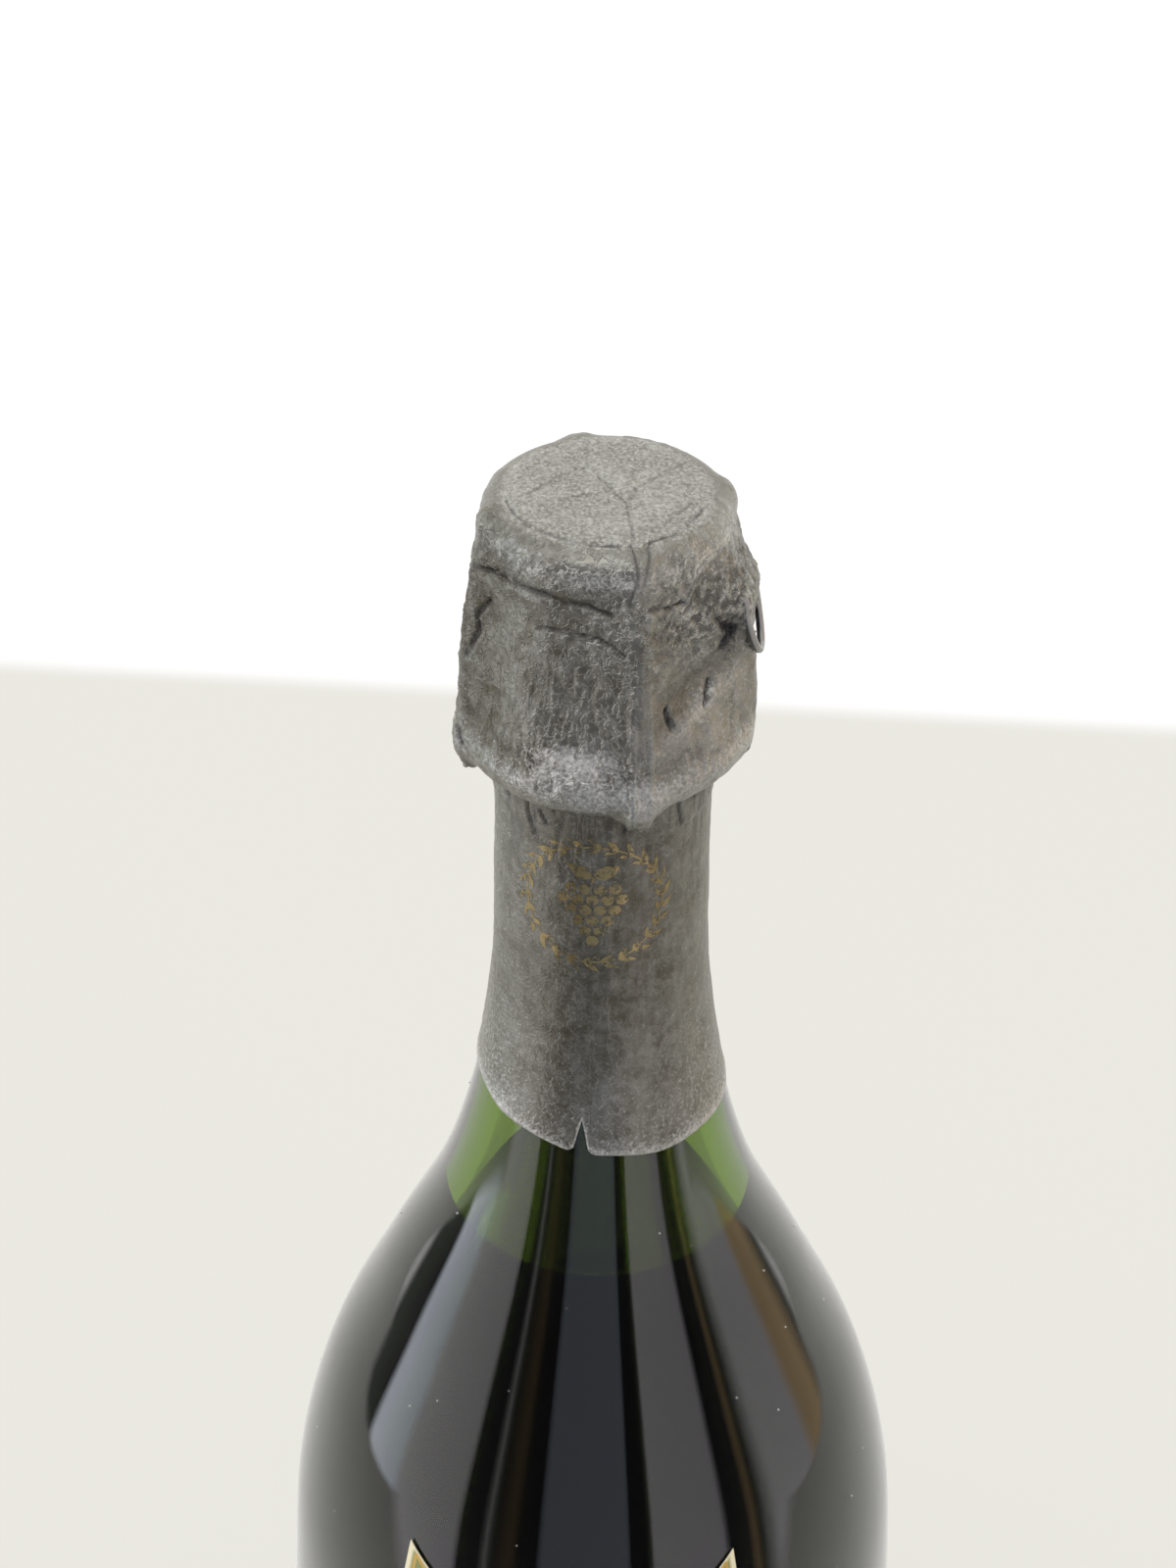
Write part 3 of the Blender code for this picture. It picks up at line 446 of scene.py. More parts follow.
outline = cavity_outline()
outline += arc((BORE_RADIUS + MOUTH_ROUND, GLASS_HEIGHT - MOUTH_ROUND), MOUTH_ROUND, 270, 360, 4)
outline += arc((LIP_RADIUS - LIP_ROUND, GLASS_HEIGHT - LIP_ROUND), LIP_ROUND, 0, 90, 4)
outline += arc((LIP_RADIUS - LIP_ROUND, LIP_BOTTOM + LIP_ROUND), LIP_ROUND, 90, 150, 4)
outline += [(GROOVE_RADIUS, LIP_BOTTOM), (GROOVE_RADIUS, COLLAR_TOP + COLLAR_ROUND)]
outline += arc((COLLAR_RADIUS - COLLAR_ROUND, COLLAR_TOP - COLLAR_ROUND), COLLAR_ROUND, 0, 90, 5)
outline += arc((COLLAR_RADIUS - COLLAR_ROUND, COLLAR_BOTTOM + COLLAR_ROUND), COLLAR_ROUND,
               90, 180, 5)
outline += list(map(tuple, belly_outline()[::-1]))
heel_reach = (HEEL_RADIUS - STANDING_RADIUS, HEEL_HEIGHT)
outline += arc((STANDING_RADIUS, HEEL_HEIGHT), heel_reach, 90, 180, 10)[1:]
outline += [(FOOT_RADIUS * out, PUNT_HEIGHT * up) for out, up in smooth_curve(PUNT_SHARES, 4)]
bottle = turned("bottle", outline, GLASS_STEPS, bottle_glass)
bottle.data.materials.append(wet_glass)
cavity = np.array(cavity_outline())
cavity_side = cavity[DOME_POINTS:]
for face in bottle.data.polygons:
    out = math.hypot(face.center.x, face.center.y)
    inner = np.interp(face.center.z, cavity_side[:, 1], cavity_side[:, 0])
    if BASE_THICKNESS < face.center.z < WINE_LEVEL and out < inner + WET_REACH:
        face.material_index = 1
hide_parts("glass_bottle")
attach(bottle, "bottle")

# %% [markdown]
# The wine is a body of its own inside the glass. Its side reaches a little into the glass, so
# that no thin layer of air is left between the two: light then bends as it does from glass to
# wine, and the wine doesn't look like a silver tube. It climbs a little at the glass.

# %% The wine
WINE_OVERLAP = 0.15 * MM
MENISCUS = 1.2 * MM
WINE_THROUGH = "#8c7c4a"  # white light after 30 mm of it
WINE_DEPTH = 30.0 * MM
WINE_DENSITY = 60.0

wine_finish, tree, shader = new_material(
    "old_sparkling_wine", Base_Color=(1, 1, 1, 1), Roughness=0.0, IOR=1.34,
    Transmission_Weight=1.0, Specular_Tint=WET_REFLECTION)
tint_inside(tree, WINE_THROUGH, WINE_DEPTH, WINE_DENSITY)

slope = np.gradient(cavity, axis=0)
slope /= np.linalg.norm(slope, axis=1)[:, None]
wet = cavity + np.column_stack([slope[:, 1], -slope[:, 0]]) * WINE_OVERLAP
wet[0, 0] = 0.0
wet = wet[wet[:, 1] < WINE_LEVEL]
beyond = cavity[cavity[:, 1] > WIDEST_HEIGHT]
rim = np.interp(WINE_LEVEL + MENISCUS / 2, beyond[:, 1], beyond[:, 0]) + WINE_OVERLAP
climb = [(rim - MENISCUS * (1 - math.cos(a)) * 2, WINE_LEVEL + MENISCUS / 2 * (1 - math.sin(a)))
         for a in np.linspace(math.pi / 2, 0, 5)]
outline = [(0.0, WINE_LEVEL), *climb, *map(tuple, wet[::-1])]
wine = turned("wine_inside", outline, GLASS_STEPS, wine_finish)
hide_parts("wine")
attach(wine, "bottle")

# %% [markdown]
# ## Foil
# Old wine foil is thin soft metal that was pressed on by hand. A foil here is a sheet through a
# grid of points: rows go up the bottle, columns go round it, and the seam is at the back. The
# relief is added along the sheet's own normal, so creases stand square to it everywhere.


# %% Foil tools
def draped(name, points, traits, material):
    """A sheet through a (rows, columns, 3) grid of points, with float attributes of that grid."""
    rows, columns = points.shape[:2]
    bpy.ops.object.select_all(action="DESELECT")
    bpy.ops.mesh.primitive_grid_add(x_subdivisions=columns - 1, y_subdivisions=rows - 1, size=1)
    sheet = bpy.context.object
    sheet.name = sheet.data.name = name
    sheet.data.vertices.foreach_set("co", points.reshape(-1))
    for trait, values in traits.items():
        sheet.data.attributes.new(trait, "FLOAT", "POINT").data.foreach_set("value", values.ravel())
    sheet.data.materials.append(material)
    sheet.data.update()
    return sheet


def finish_sheet(sheet, thickness, keep=None):
    """Keep some faces of a sheet, close its seam, and give it a thickness."""
    mesh = sheet.data
    select_only(sheet)
    if keep is not None:
        bpy.ops.object.mode_set(mode="EDIT")
        bpy.ops.mesh.select_mode(type="FACE")
        bpy.ops.mesh.select_all(action="DESELECT")
        bpy.ops.object.mode_set(mode="OBJECT")
        mesh.polygons.foreach_set("select", ~keep)
        bpy.ops.object.mode_set(mode="EDIT")
        bpy.ops.mesh.delete(type="FACE")
        bpy.ops.mesh.select_mode(type="VERT")
    bpy.ops.object.mode_set(mode="EDIT")
    bpy.ops.mesh.select_all(action="SELECT")
    bpy.ops.mesh.remove_doubles(threshold=0.002 * MM)
    bpy.ops.object.mode_set(mode="OBJECT")
    solid = sheet.modifiers.new("thickness", "SOLIDIFY")
    solid.thickness = thickness
    solid.offset = -1.0
    bpy.ops.object.modifier_apply(modifier=solid.name)
    bpy.ops.object.shade_smooth()
    print(f"{sheet.name}: {len(mesh.polygons)} faces")


# %% Foil tools: relief
def normals_of(points):
    """Unit normals of a closed grid of points, outwards."""
    ring = np.concatenate([points[:, -2:-1], points, points[:, 1:2]], axis=1)
    across = (ring[:, 2:] - ring[:, :-2]) / 2
    up = np.gradient(points, axis=0)
    normal = np.cross(across, up)
    return normal / np.maximum(np.linalg.norm(normal, axis=2, keepdims=True), 1e-9)


def rough(points, size, seed=0.0, stretch=1.0):
    """Noise from -1 to 1 at each point, with bumps of a size in mm, drawn out in height."""
    scaled = points / np.array([size, size, size * stretch]) + seed
    values = [noise.noise(place) for place in scaled.reshape(-1, 3).tolist()]
    return np.array(values).reshape(points.shape[:2])


def near_line(turn, height, arm, line, width):
    """From 1 on a line of (azimuth, height in mm) points to 0 away from it."""
    nearest = np.full(turn.shape, 1e6)
    for (turn_a, low), (turn_b, high) in zip(line, line[1:]):
        x, y = (turn - turn_a) * arm, height - low
        dx, dy = (turn_b - turn_a) * arm, high - low
        along = np.clip((x * dx + y * dy) / (dx * dx + dy * dy), 0, 1)
        nearest = np.minimum(nearest, np.hypot(x - along * dx, y - along * dy))
    return np.exp(-((nearest / width) ** 2))


def bump(values, middle, width):
    """From 1 at a middle to 0 away from it."""
    return np.exp(-(((values - middle) / width) ** 2))


def grown(values, start, end):
    """From 0 at a start to 1 at an end, straight between them and level beyond."""
    return np.clip((values - start) / (end - start), 0, 1)


def ridged(values, sharpness):
    """From 1 where the values cross zero to 0 away from it, which draws thin winding lines."""
    return np.clip(1 - sharpness * np.abs(values), 0, 1)


# %% [markdown]
# The foil's finish: dull bronze lacquer that has worn to bare grey metal on what stands proud,
# and that has a pale bloom in patches, with painted light and shade laid over it. Attributes of
# the sheet steer it: wear mixes in bare metal and also paints some sides lighter and others
# darker, bloom mixes in pale bloom and painted highlights, and the third paints near-black shade;
# "crumple" says how sharply the foil is crackled, and "drawn" how much it is streaked along the
# bottle.

# %% Foil finish
BRONZE = "#4f4b3e"
BARE = "#92928b"
# Pale bloom, and also the colour of painted highlights
BLOOM_AND_PAINTED_LIGHT = "#c9c8c3"
# Near black, the colour of painted shade
PAINTED_SHADE_COLOUR = "#0e0d0b"
FOIL_MOTTLE = 420.0
FOIL_WRINKLES = 1050.0
FOIL_GRAIN = 2200.0
DRAWN_OUT = (1100.0, 1100.0, 140.0)
RIDGE_ENDS = (1.0, 1.8)  # of the ridged noise, whose upper part alone makes wrinkles
FOIL_TRAITS = ("wear_and_painted_shading", "bloom_and_painted_light", "painted_shade", "crumple", "drawn")


def foil_colour(tree, worn_and_shaded, pale, painted_shade):
    """Bronze worn to bare metal with painted side light, under bloom, painted highlights and
    painted shade.
    """
    colour = mix_colours(tree, worn_and_shaded, BRONZE, BARE)
    colour = mix_colours(tree, pale, colour, BLOOM_AND_PAINTED_LIGHT)
    return mix_colours(tree, painted_shade, colour, PAINTED_SHADE_COLOUR)


def aged_foil(name):
    """Worn bronze foil, steered by the attributes of the sheet that it lies on."""
    material, tree, shader = new_material(name)
    spot = add_node(tree, "TexCoord").outputs["Object"]
    wear_and_painted_shading, bloom_and_painted_light, painted_shade, crumple, drawn = [
        add_node(tree, "Attribute", {"attribute_name": trait}).outputs["Fac"]
        for trait in FOIL_TRAITS
    ]
    mottle = add_noise(tree, spot, FOIL_MOTTLE, 6.0, Roughness=0.65)
    grain = add_noise(tree, spot, FOIL_GRAIN, 3.0)
    wrinkles = add_node(tree, "TexNoise", {"noise_type": "RIDGED_MULTIFRACTAL"},
                        {"Scale": FOIL_WRINKLES, "Detail": 2.0, "Roughness": 0.6, "Gain": 1.2,
                         "Offset": 1.0, "Distortion": 0.6}, {"Vector": spot})
    sharp = remap(tree, wrinkles.outputs["Fac"], *RIDGE_ENDS)
    long = add_node(tree, "Mapping", values={"Scale": DRAWN_OUT}, links={"Vector": spot})
    streaks = add_noise(tree, long.outputs[0], 1.0, 3.0)

    # Wear also carries painted light and shade on the sides, bloom carries painted highlights, and
    # the near-black mix is painted shade.
    worn_and_shaded = combine(tree, "ADD", mottle, wear_and_painted_shading)
    worn_and_shaded = combine(tree, "MULTIPLY_ADD", streaks, drawn, worn_and_shaded)
    rubbed = combine(tree, "MULTIPLY", sharp, crumple)
    worn_and_shaded = remap(tree, combine(tree, "MULTIPLY_ADD", rubbed, 0.5, worn_and_shaded), 0.25, 1.15)
    pale = combine(tree, "MULTIPLY_ADD", grain, 1.1, -0.30)
    pale = remap(tree, combine(tree, "ADD", pale, bloom_and_painted_light), 0.45, 1.1, 0.0, 0.9)
    tree.links.new(foil_colour(tree, worn_and_shaded, pale, painted_shade), shader.inputs["Base Color"])
    metal = combine(tree, "SUBTRACT", remap(tree, pale, 0.0, 1.0, 0.88, 0.25), painted_shade)
    tree.links.new(metal, shader.inputs["Metallic"])
    tree.links.new(remap(tree, mottle, 0.0, 1.0, 0.28, 0.50), shader.inputs["Roughness"])

    low = add_node(tree, "Bump", values={"Strength": 0.5, "Distance": 0.12 * MM},
                   links={"Height": mottle})
    lines = add_node(tree, "Bump", values={"Strength": 0.5, "Distance": 0.05 * MM},
                     links={"Height": streaks, "Normal": low.outputs[0]})
    high = add_node(tree, "Bump", values={"Distance": 0.22 * MM},
                    links={"Height": sharp, "Normal": lines.outputs[0], "Strength": crumple})
    tree.links.new(high.outputs[0], shader.inputs["Normal"])
    print(f"{name}: {len(tree.nodes)} nodes")
    return material


foil_finish = aged_foil("aged_bronze_lead_foil")

# %% [markdown]
# ### The hood
# The hood lies over the cork's cap and the four legs of the wire cage. Over a leg it follows one
# outline, and between two legs it runs straight from leg to cork, so that it touches a second,
# inner outline. The wires, the twisted belt and its key press through.

# %% The hood's outlines
OVER_LEG = (  # height and radius in mm, from the hem up to the middle of the top
    (272.1, 16.5), (271.7, 17.3), (272.9, 18.6), (276.3, 19.25), (279.0, 18.85), (284.0, 18.55),
    (289.0, 18.4), (294.0, 17.95), (298.0, 17.4), (302.0, 16.75), (305.2, 16.0), (306.4, 15.95),
    (307.4, 15.88), (308.5, 15.5), (309.15, 14.8), (309.5, 13.9), (309.65, 12.6), (310.1, 11.2),
    (310.1, 6.0), (310.1, 0.0),
)
BETWEEN_LEGS = (
    (274.6, 15.9), (274.2, 16.7), (275.3, 17.95), (277.5, 18.6), (279.9, 18.1), (282.8, 17.25),
    (286.4, 16.4), (290.5, 15.6), (295.0, 15.15), (299.5, 14.95), (303.2, 15.0), (305.0, 15.1),
    (306.3, 15.05), (307.4, 14.92), (308.4, 14.4), (309.15, 13.55), (309.65, 12.6), (310.1, 11.2),
    (310.1, 6.0), (310.1, 0.0),
)
OVER_KEY = (
    (274.2, 18.3), (275.0, 18.8), (276.2, 19.0), (283.0, 18.95), (287.5, 18.75), (290.0, 18.5),
    (292.5, 18.5), (295.0, 18.6), (296.2, 18.55), (298.5, 18.5), (300.2, 17.7), (302.5, 16.5),
    (305.5, 15.3),
)
KEY_COVERED = (272.5, 306)  # heights between which the key can lift the foil
KEY_SPREAD_BELOW = 0.03  # half width of what the foil lies on, in radians: the twisted shank,
KEY_SPREAD_ABOVE = 0.21  # and the loop above it
KEY_SPREADS = (289, 295)  # between these heights the one goes over into the other
FRONT_LEG = 14.6  # degrees
KEY_AZIMUTH = 82.0
HOOD_ROWS = 150
HOOD_COLUMNS = 340
SOFT_TURN = 0.035
LEG_PAIR = 0.04  # half width of a leg's two strands at the rim, in radians
ROUND_BACK = 0.35  # how far the back of the rim is filled between its legs
FOIL_THICKNESS = 0.12 * MM
OUTLINE_STEPS = 24


def pressed(inner, outer, turn):
    """Radius of a sheet that runs straight from an outer radius at no turn to an inner one."""
    reach = np.arccos(np.clip(inner / np.maximum(outer, inner + 1e-6), 0, 1))
    return inner / np.cos(np.maximum(0, reach + SOFT_TURN - np.hypot(turn, SOFT_TURN)))


# %% The hood's shape
knots = np.array([0, *np.cumsum([math.dist(a, b) for a, b in zip(OVER_LEG, OVER_LEG[1:])])])
legs = smooth_curve(OVER_LEG, OUTLINE_STEPS)
gaps = smooth_curve(BETWEEN_LEGS, OUTLINE_STEPS)
lengths = np.interp(np.linspace(0, len(OVER_LEG) - 1, len(legs)), np.arange(len(OVER_LEG)), knots)
rows = np.linspace(0, knots[-1], HOOD_ROWS)
leg_height, leg_radius, gap_height, gap_radius = [
    np.interp(rows, lengths, column)[:, None] for column in (*legs.T, *gaps.T)
]
azimuth = np.broadcast_to(np.linspace(-180, 180, HOOD_COLUMNS), (HOOD_ROWS, HOOD_COLUMNS))
from_leg = np.radians((azimuth - FRONT_LEG + 45) % 90 - 45)
wide = LEG_PAIR * grown(leg_height, 300, 304)
filled = ROUND_BACK * grown(leg_height, 301, 305) * grown(np.abs(azimuth), 80, 110)
gap_height = gap_height + (leg_height - gap_height) * filled
gap_radius = gap_radius + (leg_radius - gap_radius) * filled
radius = pressed(gap_radius, leg_radius, np.maximum(0, np.abs(from_leg) - wide))
share = np.clip((radius - gap_radius) / np.maximum(leg_radius - gap_radius, 1e-3), 0, 1)
height = gap_height + (leg_height - gap_height) * share
over_key = np.interp(height, *zip(*OVER_KEY))
spread = np.interp(height, KEY_SPREADS, (KEY_SPREAD_BELOW, KEY_SPREAD_ABOVE))
from_key = np.maximum(0, np.abs(np.radians(azimuth - KEY_AZIMUTH)) - spread)
covered = (height > KEY_COVERED[0]) & (height < KEY_COVERED[1])
radius = np.where(covered, np.maximum(radius, pressed(radius, over_key, from_key)), radius)
print(f"hood: {height.min():.1f} to {height.max():.1f} mm high, {radius.max():.1f} mm out")

# %% [markdown]
# Pressed foil is never smooth. Its relief is a height over the grid, added up from kinds that can
# each be seen on real foil: soft dents, the crackle of crushed metal, wrinkles drawn out along
# the bottle, and puckers where it was rolled under. Noise makes them, since they have no plan,
# and a weight for each says where on the hood it is strong.

# %% The hood's crumples
CAP_LEVEL = 304.0  # from here up the foil lies on the cap and the ring of wires
SIDE_RADIUS = 17.2
arm = math.radians(SIDE_RADIUS)  # mm along the side for each degree

level = height + np.maximum(0, 12.9 - radius)  # goes on growing over the rim and the top
side = 1 / (1 + np.exp(-(radius - 13.0) / 0.25))
turn = np.radians(azimuth)
base = np.dstack([radius * np.sin(turn), -radius * np.cos(turn), height])

relief = 0.30 * rough(base, 7.0) + 0.16 * rough(base, 2.4, 11.0) + 0.07 * rough(base, 1.1, 17.0)
worms = 1 - np.abs(rough(base, 1.15, 3.0) + 0.5 * rough(base, 2.8, 9.0)) * 4.4
worms = np.clip(worms, -0.6, 1)
crackle = side * (
    1.0 * bump(azimuth, 52, 46) * bump(height, 300.5, 8.0)
    + 0.45 * bump(azimuth, -48, 24) * bump(height, 305.5, 5.0)
    + 0.30 * bump(azimuth, -80, 20)
    + 0.55 * bump(np.abs(azimuth), 150, 50) * bump(height, 295, 12)
)
crackle = np.clip(crackle, 0, 1)
relief += 0.24 * crackle * worms
strips = rough(base, 0.80, 5.0, 9.0)
striped = side * bump(height, 288.5, 8.0) * (0.15 + 0.85 * bump(azimuth, -16, 26))
relief -= 0.18 * striped * ridged(strips, 3.5)
rolled = side * bump(height, 281.0, 3.4)
relief -= 0.26 * rolled * ridged(rough(base, 1.7, 8.0, 3.5), 4)
grains = np.clip(rough(base, 0.85, 2.0) * 2.5, -0.5, 1)
relief += 0.08 * (1 - side) * grains
print(f"crumples: {relief.min():.2f} to {relief.max():.2f} mm")

# %% [markdown]
# The wires press through as two thin ridges on each leg, with the ring of an eye at the foot.
# Creases and tears are drawn as listed lines of azimuths and levels, read off the picture. A
# crease sinks along its line, and the foil swells a little below it.

# %% The wires' ridges
STRAND_OFFSETS = (-1.05, 1.0)  # mm from the middle of a leg
EYE_LEVEL = 276.6
EYE_RADIUS = 1.9

across = np.degrees(from_leg) * arm
on_legs = side * (height < CAP_LEVEL) * (0.5 + 0.5 * bump(azimuth, FRONT_LEG, 30))
on_legs *= 0.35 + 0.65 * grown(height, 292, 286)
for offset in STRAND_OFFSETS:
    ridge = bump(across + 0.25 * rough(base, 6.0, 21.0), offset, 0.36)
    relief += 0.36 * on_legs * ridge
eye = np.abs(np.hypot(across, height - EYE_LEVEL) - EYE_RADIUS)
relief += 0.20 * side * bump(eye, 0, 0.45)

# %% The hood's creases
CREASES = (  # depth and width in mm, and the line's azimuths and levels
    (0.25, 0.18, ((-78, 310.5), (-50, 310.7), (-32, 310.8), (-10, 310.7), (8, 310.4))),
    (0.12, 0.15, ((24, 310.5), (46, 310.7), (70, 310.9))),
    (0.25, 0.22, ((13, 310.4), (13.5, 308.0), (10, 304.0))),
    (0.25, 0.20, ((24, 310.3), (18, 308.6), (15, 306.0))),
    (0.60, 0.25, ((-75, 302.0), (-59, 303.1), (-31, 303.7), (-8, 303.0), (3, 302.2))),
    (0.40, 0.22, ((18, 303.4), (27, 302.4), (38, 302.1))),
    (0.45, 0.20, ((-32, 298.7), (-18, 299.2), (-3, 299.0), (4, 298.2), (8, 297.2))),
    (0.70, 0.35, ((55, 297.7), (65, 294.4), (61, 292.6))),
    (0.80, 0.28, ((-63, 298.6), (-68, 296.0), (-66, 294.0), (-71, 290))),
    (0.55, 0.40, ((125, 304.0), (150, 302.6), (178, 303.4))),
    (0.55, 0.40, ((-178, 303.4), (-150, 302.0), (-110, 304.2))),
    (0.45, 0.35, ((150, 297.0), (163, 288.0), (160, 282.0))),
    (0.45, 0.35, ((-130, 298.0), (-142, 290.0), (-138, 283.5))),
)
TOP_CREASES = (  # places on the top, in mm to the right and to the back
    ((-3.0, 4.6), (-4.2, 4.3), (-7.0, 1.2), (-9.6, -1.6)), ((9.1, 6.3), (3.6, 0.2), (2.4, -3.0)),
    ((-1.2, 2.9), (2.3, -3.2), (2.6, -7.0), (3.2, -11.0)), ((9.9, -3.2), (7.5, -6.0), (6.6, -8.3)),
)
creased = np.zeros_like(radius)
for depth, width, line in CREASES:
    on_line = near_line(azimuth, level, arm, line, width)
    creased = np.maximum(creased, on_line)
    relief -= depth * on_line
    relief += 0.20 * near_line(azimuth, level + 1.0, arm, line, 0.55)
for line in TOP_CREASES:
    on_line = near_line(base[:, :, 0], base[:, :, 1], 1.0, line, 0.20) * (1 - side)
    creased = np.maximum(creased, 0.5 * on_line)
    relief -= 0.14 * on_line
print(f"creases: {len(CREASES)} on the side and the rim, {len(TOP_CREASES)} on the top")

# %% The hood's folds, tears and pit
TEARS = (((27, 288.5), (28, 287.0), (29, 285.8)), ((54, 288.8), (50, 287.6), (48, 286.7)),
         ((-73, 278.6), (-69, 277.2)))
TEAR_WIDTH = 0.30
TEAR_DEPTH = 1.5
FOLD_LINE = ((20, 27, 50, 74), (284.5, 286.0, 288.6, 290.5))  # azimuths and levels of its edge
PIT = (62, 294.8)  # where the foil sinks beside the key
PIT_DEPTH = 1.1
STIFF_LIMIT = 0.12  # how far it can sink or rise where something hard is right under it

fold = np.interp(azimuth, *FOLD_LINE)
slack = side * bump(azimuth, 45, 21)
relief += slack * (0.45 * bump(height, fold - 1.4, 1.3) - 0.75 * bump(height, fold + 1.7, 2.2))
gathered = side * bump(azimuth, -25, 48)
relief += gathered * (0.22 * bump(height, 276.0, 2.2) - 0.32 * bump(height, 280.6, 1.1))
torn = np.zeros_like(radius)
for line in TEARS:
    torn = np.maximum(torn, near_line(azimuth, height, arm, line, TEAR_WIDTH))
relief -= TEAR_DEPTH * torn
pit = side * bump(azimuth, PIT[0], 4.5) * bump(height, PIT[1], 3.0)
relief -= PIT_DEPTH * pit
stiff = (height > CAP_LEVEL) | (np.abs(across) < 1.9)  # over the cap, the ring or the legs
relief = np.where(stiff, np.maximum(relief, -STIFF_LIMIT), relief)
tight = (height > CAP_LEVEL) & ((np.abs(across) < 2.2) | (radius > 12.5))
relief = np.where(tight, np.clip(relief, 0.0, STIFF_LIMIT), relief)
print(f"whole relief: {relief.min():.2f} to {relief.max():.2f} mm")

# %% [markdown]
# The same heights steer the finish: what stands proud is worn, creases and tears are painted dark
# as shade, as are the pit and the crackle's valleys, and the crackle's ridges get painted
# highlights. So the colours fit the relief without a picture texture.

# %% The hood's finish
shape = base + normals_of(base) * relief[:, :, None]
shape[-1] = (0, 0, shape[-1, :, 2].mean())

# Painted light and shade: besides wear on what stands proud, on the top, the roll and the cap's
# rim, the right side is painted lighter and the left side darker.
wear_and_painted_shading = np.clip(relief * 0.6, -0.2, 0.3) + 0.16 * (1 - side)
wear_and_painted_shading += side * (0.30 * bump(height, 277.6, 2.8) + 0.25 * bump(height, 307.5, 2.0)
                + 0.22 * bump(azimuth, 60, 35) - 0.20 * bump(azimuth, -65, 32))

# Painted highlights: the roll, the cap's rounded rim, the top, the right side and the crackle's
# ridges are painted pale; with them go a patch of pale bloom at the front of the roll and a pale
# band below the fold.
roll_highlight = side * bump(height, 277.8, 2.6)
roll_highlight *= (1 - 0.6 * bump(azimuth, -80, 35)) * (1 - 0.4 * bump(azimuth, 50, 30))
rim_highlight = side * bump(height, 306.6, 1.4) * (0.20 + 0.16 * bump(azimuth, -5, 25))
bloom_and_painted_light = 0.34 * (1 - side) + 0.34 * roll_highlight + rim_highlight
bloom_and_painted_light += 0.68 * bump(azimuth, -11, 20) * bump(height, 282.0, 2.3)
bloom_and_painted_light += 0.10 * side * bump(azimuth, 65, 36) + 0.25 * slack * bump(height, fold - 1.8, 1.8)
bloom_and_painted_light += 0.42 * crackle * np.clip(worms, 0, 1)

# Painted shade: creases, tears, the pit, the grooves between the pleats and the crackle's valleys
# are painted near black.
painted_shade = 0.75 * creased + torn + 0.85 * pit
painted_shade += 0.40 * striped * ridged(strips, 4.5) + 0.75 * crackle * np.clip(-worms, 0, 1)
hood_traits = {
    "wear_and_painted_shading": wear_and_painted_shading,
    "bloom_and_painted_light": np.clip(bloom_and_painted_light, 0, 1),
    "painted_shade": np.clip(painted_shade, 0, 0.95),
    "crumple": np.clip(0.35 + 0.35 * (1 - side) + 0.9 * crackle, 0, 1),
    "drawn": np.clip(0.15 + 0.35 * striped, 0, 1),
}
hood = draped("foil_hood_skin", shape * MM, hood_traits, foil_finish)

# %% [markdown]
# The key stands in a torn opening of the foil. For the hood to come off and the key to fold out,
# the foil is parted there as a hand would tear it: a flap over the key, which moves with it, and
# a hem below, which stays. All three are cut from the one sheet, so they meet edge to edge.

# %% Cutting the hood
FLAP_HALF = 17  # degrees
FLAP_ROUND_LEVEL = 292  # above this the flap grows narrower, as half an ellipse
FLAP_ROUND_HEIGHT = 11
ROOT_NARROWING = 4.0  # degrees, at the root where the flap folds
HEM_TOP = 274.7  # low enough for the key and its flap to fold out over it
HEM_RISE = 1.9  # more at the flap's sides
OPENING_AZIMUTH = 86.5
OPENING_HALF = 8.5
OPENING_LEVELS = (290.4, 295.9)

middles = (azimuth[:-1, :-1] + azimuth[1:, 1:]) / 2
levels = (height[:-1, :-1] + height[1:, 1:]) / 2
off_key = np.abs(middles - KEY_AZIMUTH)
rounding = np.maximum(levels - FLAP_ROUND_LEVEL, 0) / FLAP_ROUND_HEIGHT
flap_half = FLAP_HALF * np.sqrt(np.clip(1 - rounding**2, 0, 1))
flap_half -= ROOT_NARROWING * grown(levels, 278.5, 276.5)
wander = 1.2 * np.sin(levels * 2.1) + 0.7 * np.sin(levels * 5.3)
by_key = off_key < flap_half + np.where(flap_half > 0, wander, 0)
tear_low = OPENING_LEVELS[0] + 0.5 * np.sin(middles * 0.9)
tear_high = OPENING_LEVELS[1] + 0.4 * np.sin(middles * 1.3)
opening = np.abs(middles - OPENING_AZIMUTH) < OPENING_HALF
opening &= (levels > tear_low) & (levels < tear_high)
hem_top = HEM_TOP + HEM_RISE * np.minimum(off_key / FLAP_HALF, 1) ** 2
in_flap = by_key & (levels > hem_top) & ~opening
in_hem = by_key & (levels <= hem_top)
parts = (("foil_hood_skin", "hood", ~in_flap & ~in_hem & ~opening),
         ("foil_flap", "key", in_flap), ("foil_hem", "cage", in_hem))
for name, body, keep in parts:
    sheet = hood if name == hood.name else draped(name, shape * MM, hood_traits, foil_finish)
    finish_sheet(sheet, FOIL_THICKNESS, keep.ravel())
    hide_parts("foil_hood")
    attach(sheet, body)

# %% [markdown]
# ### The neck foil
# The sleeve that was left on the neck follows the glass. Its lower edge was cut aslant, and it
# has a small slit at the front, where two rounded lobes meet.

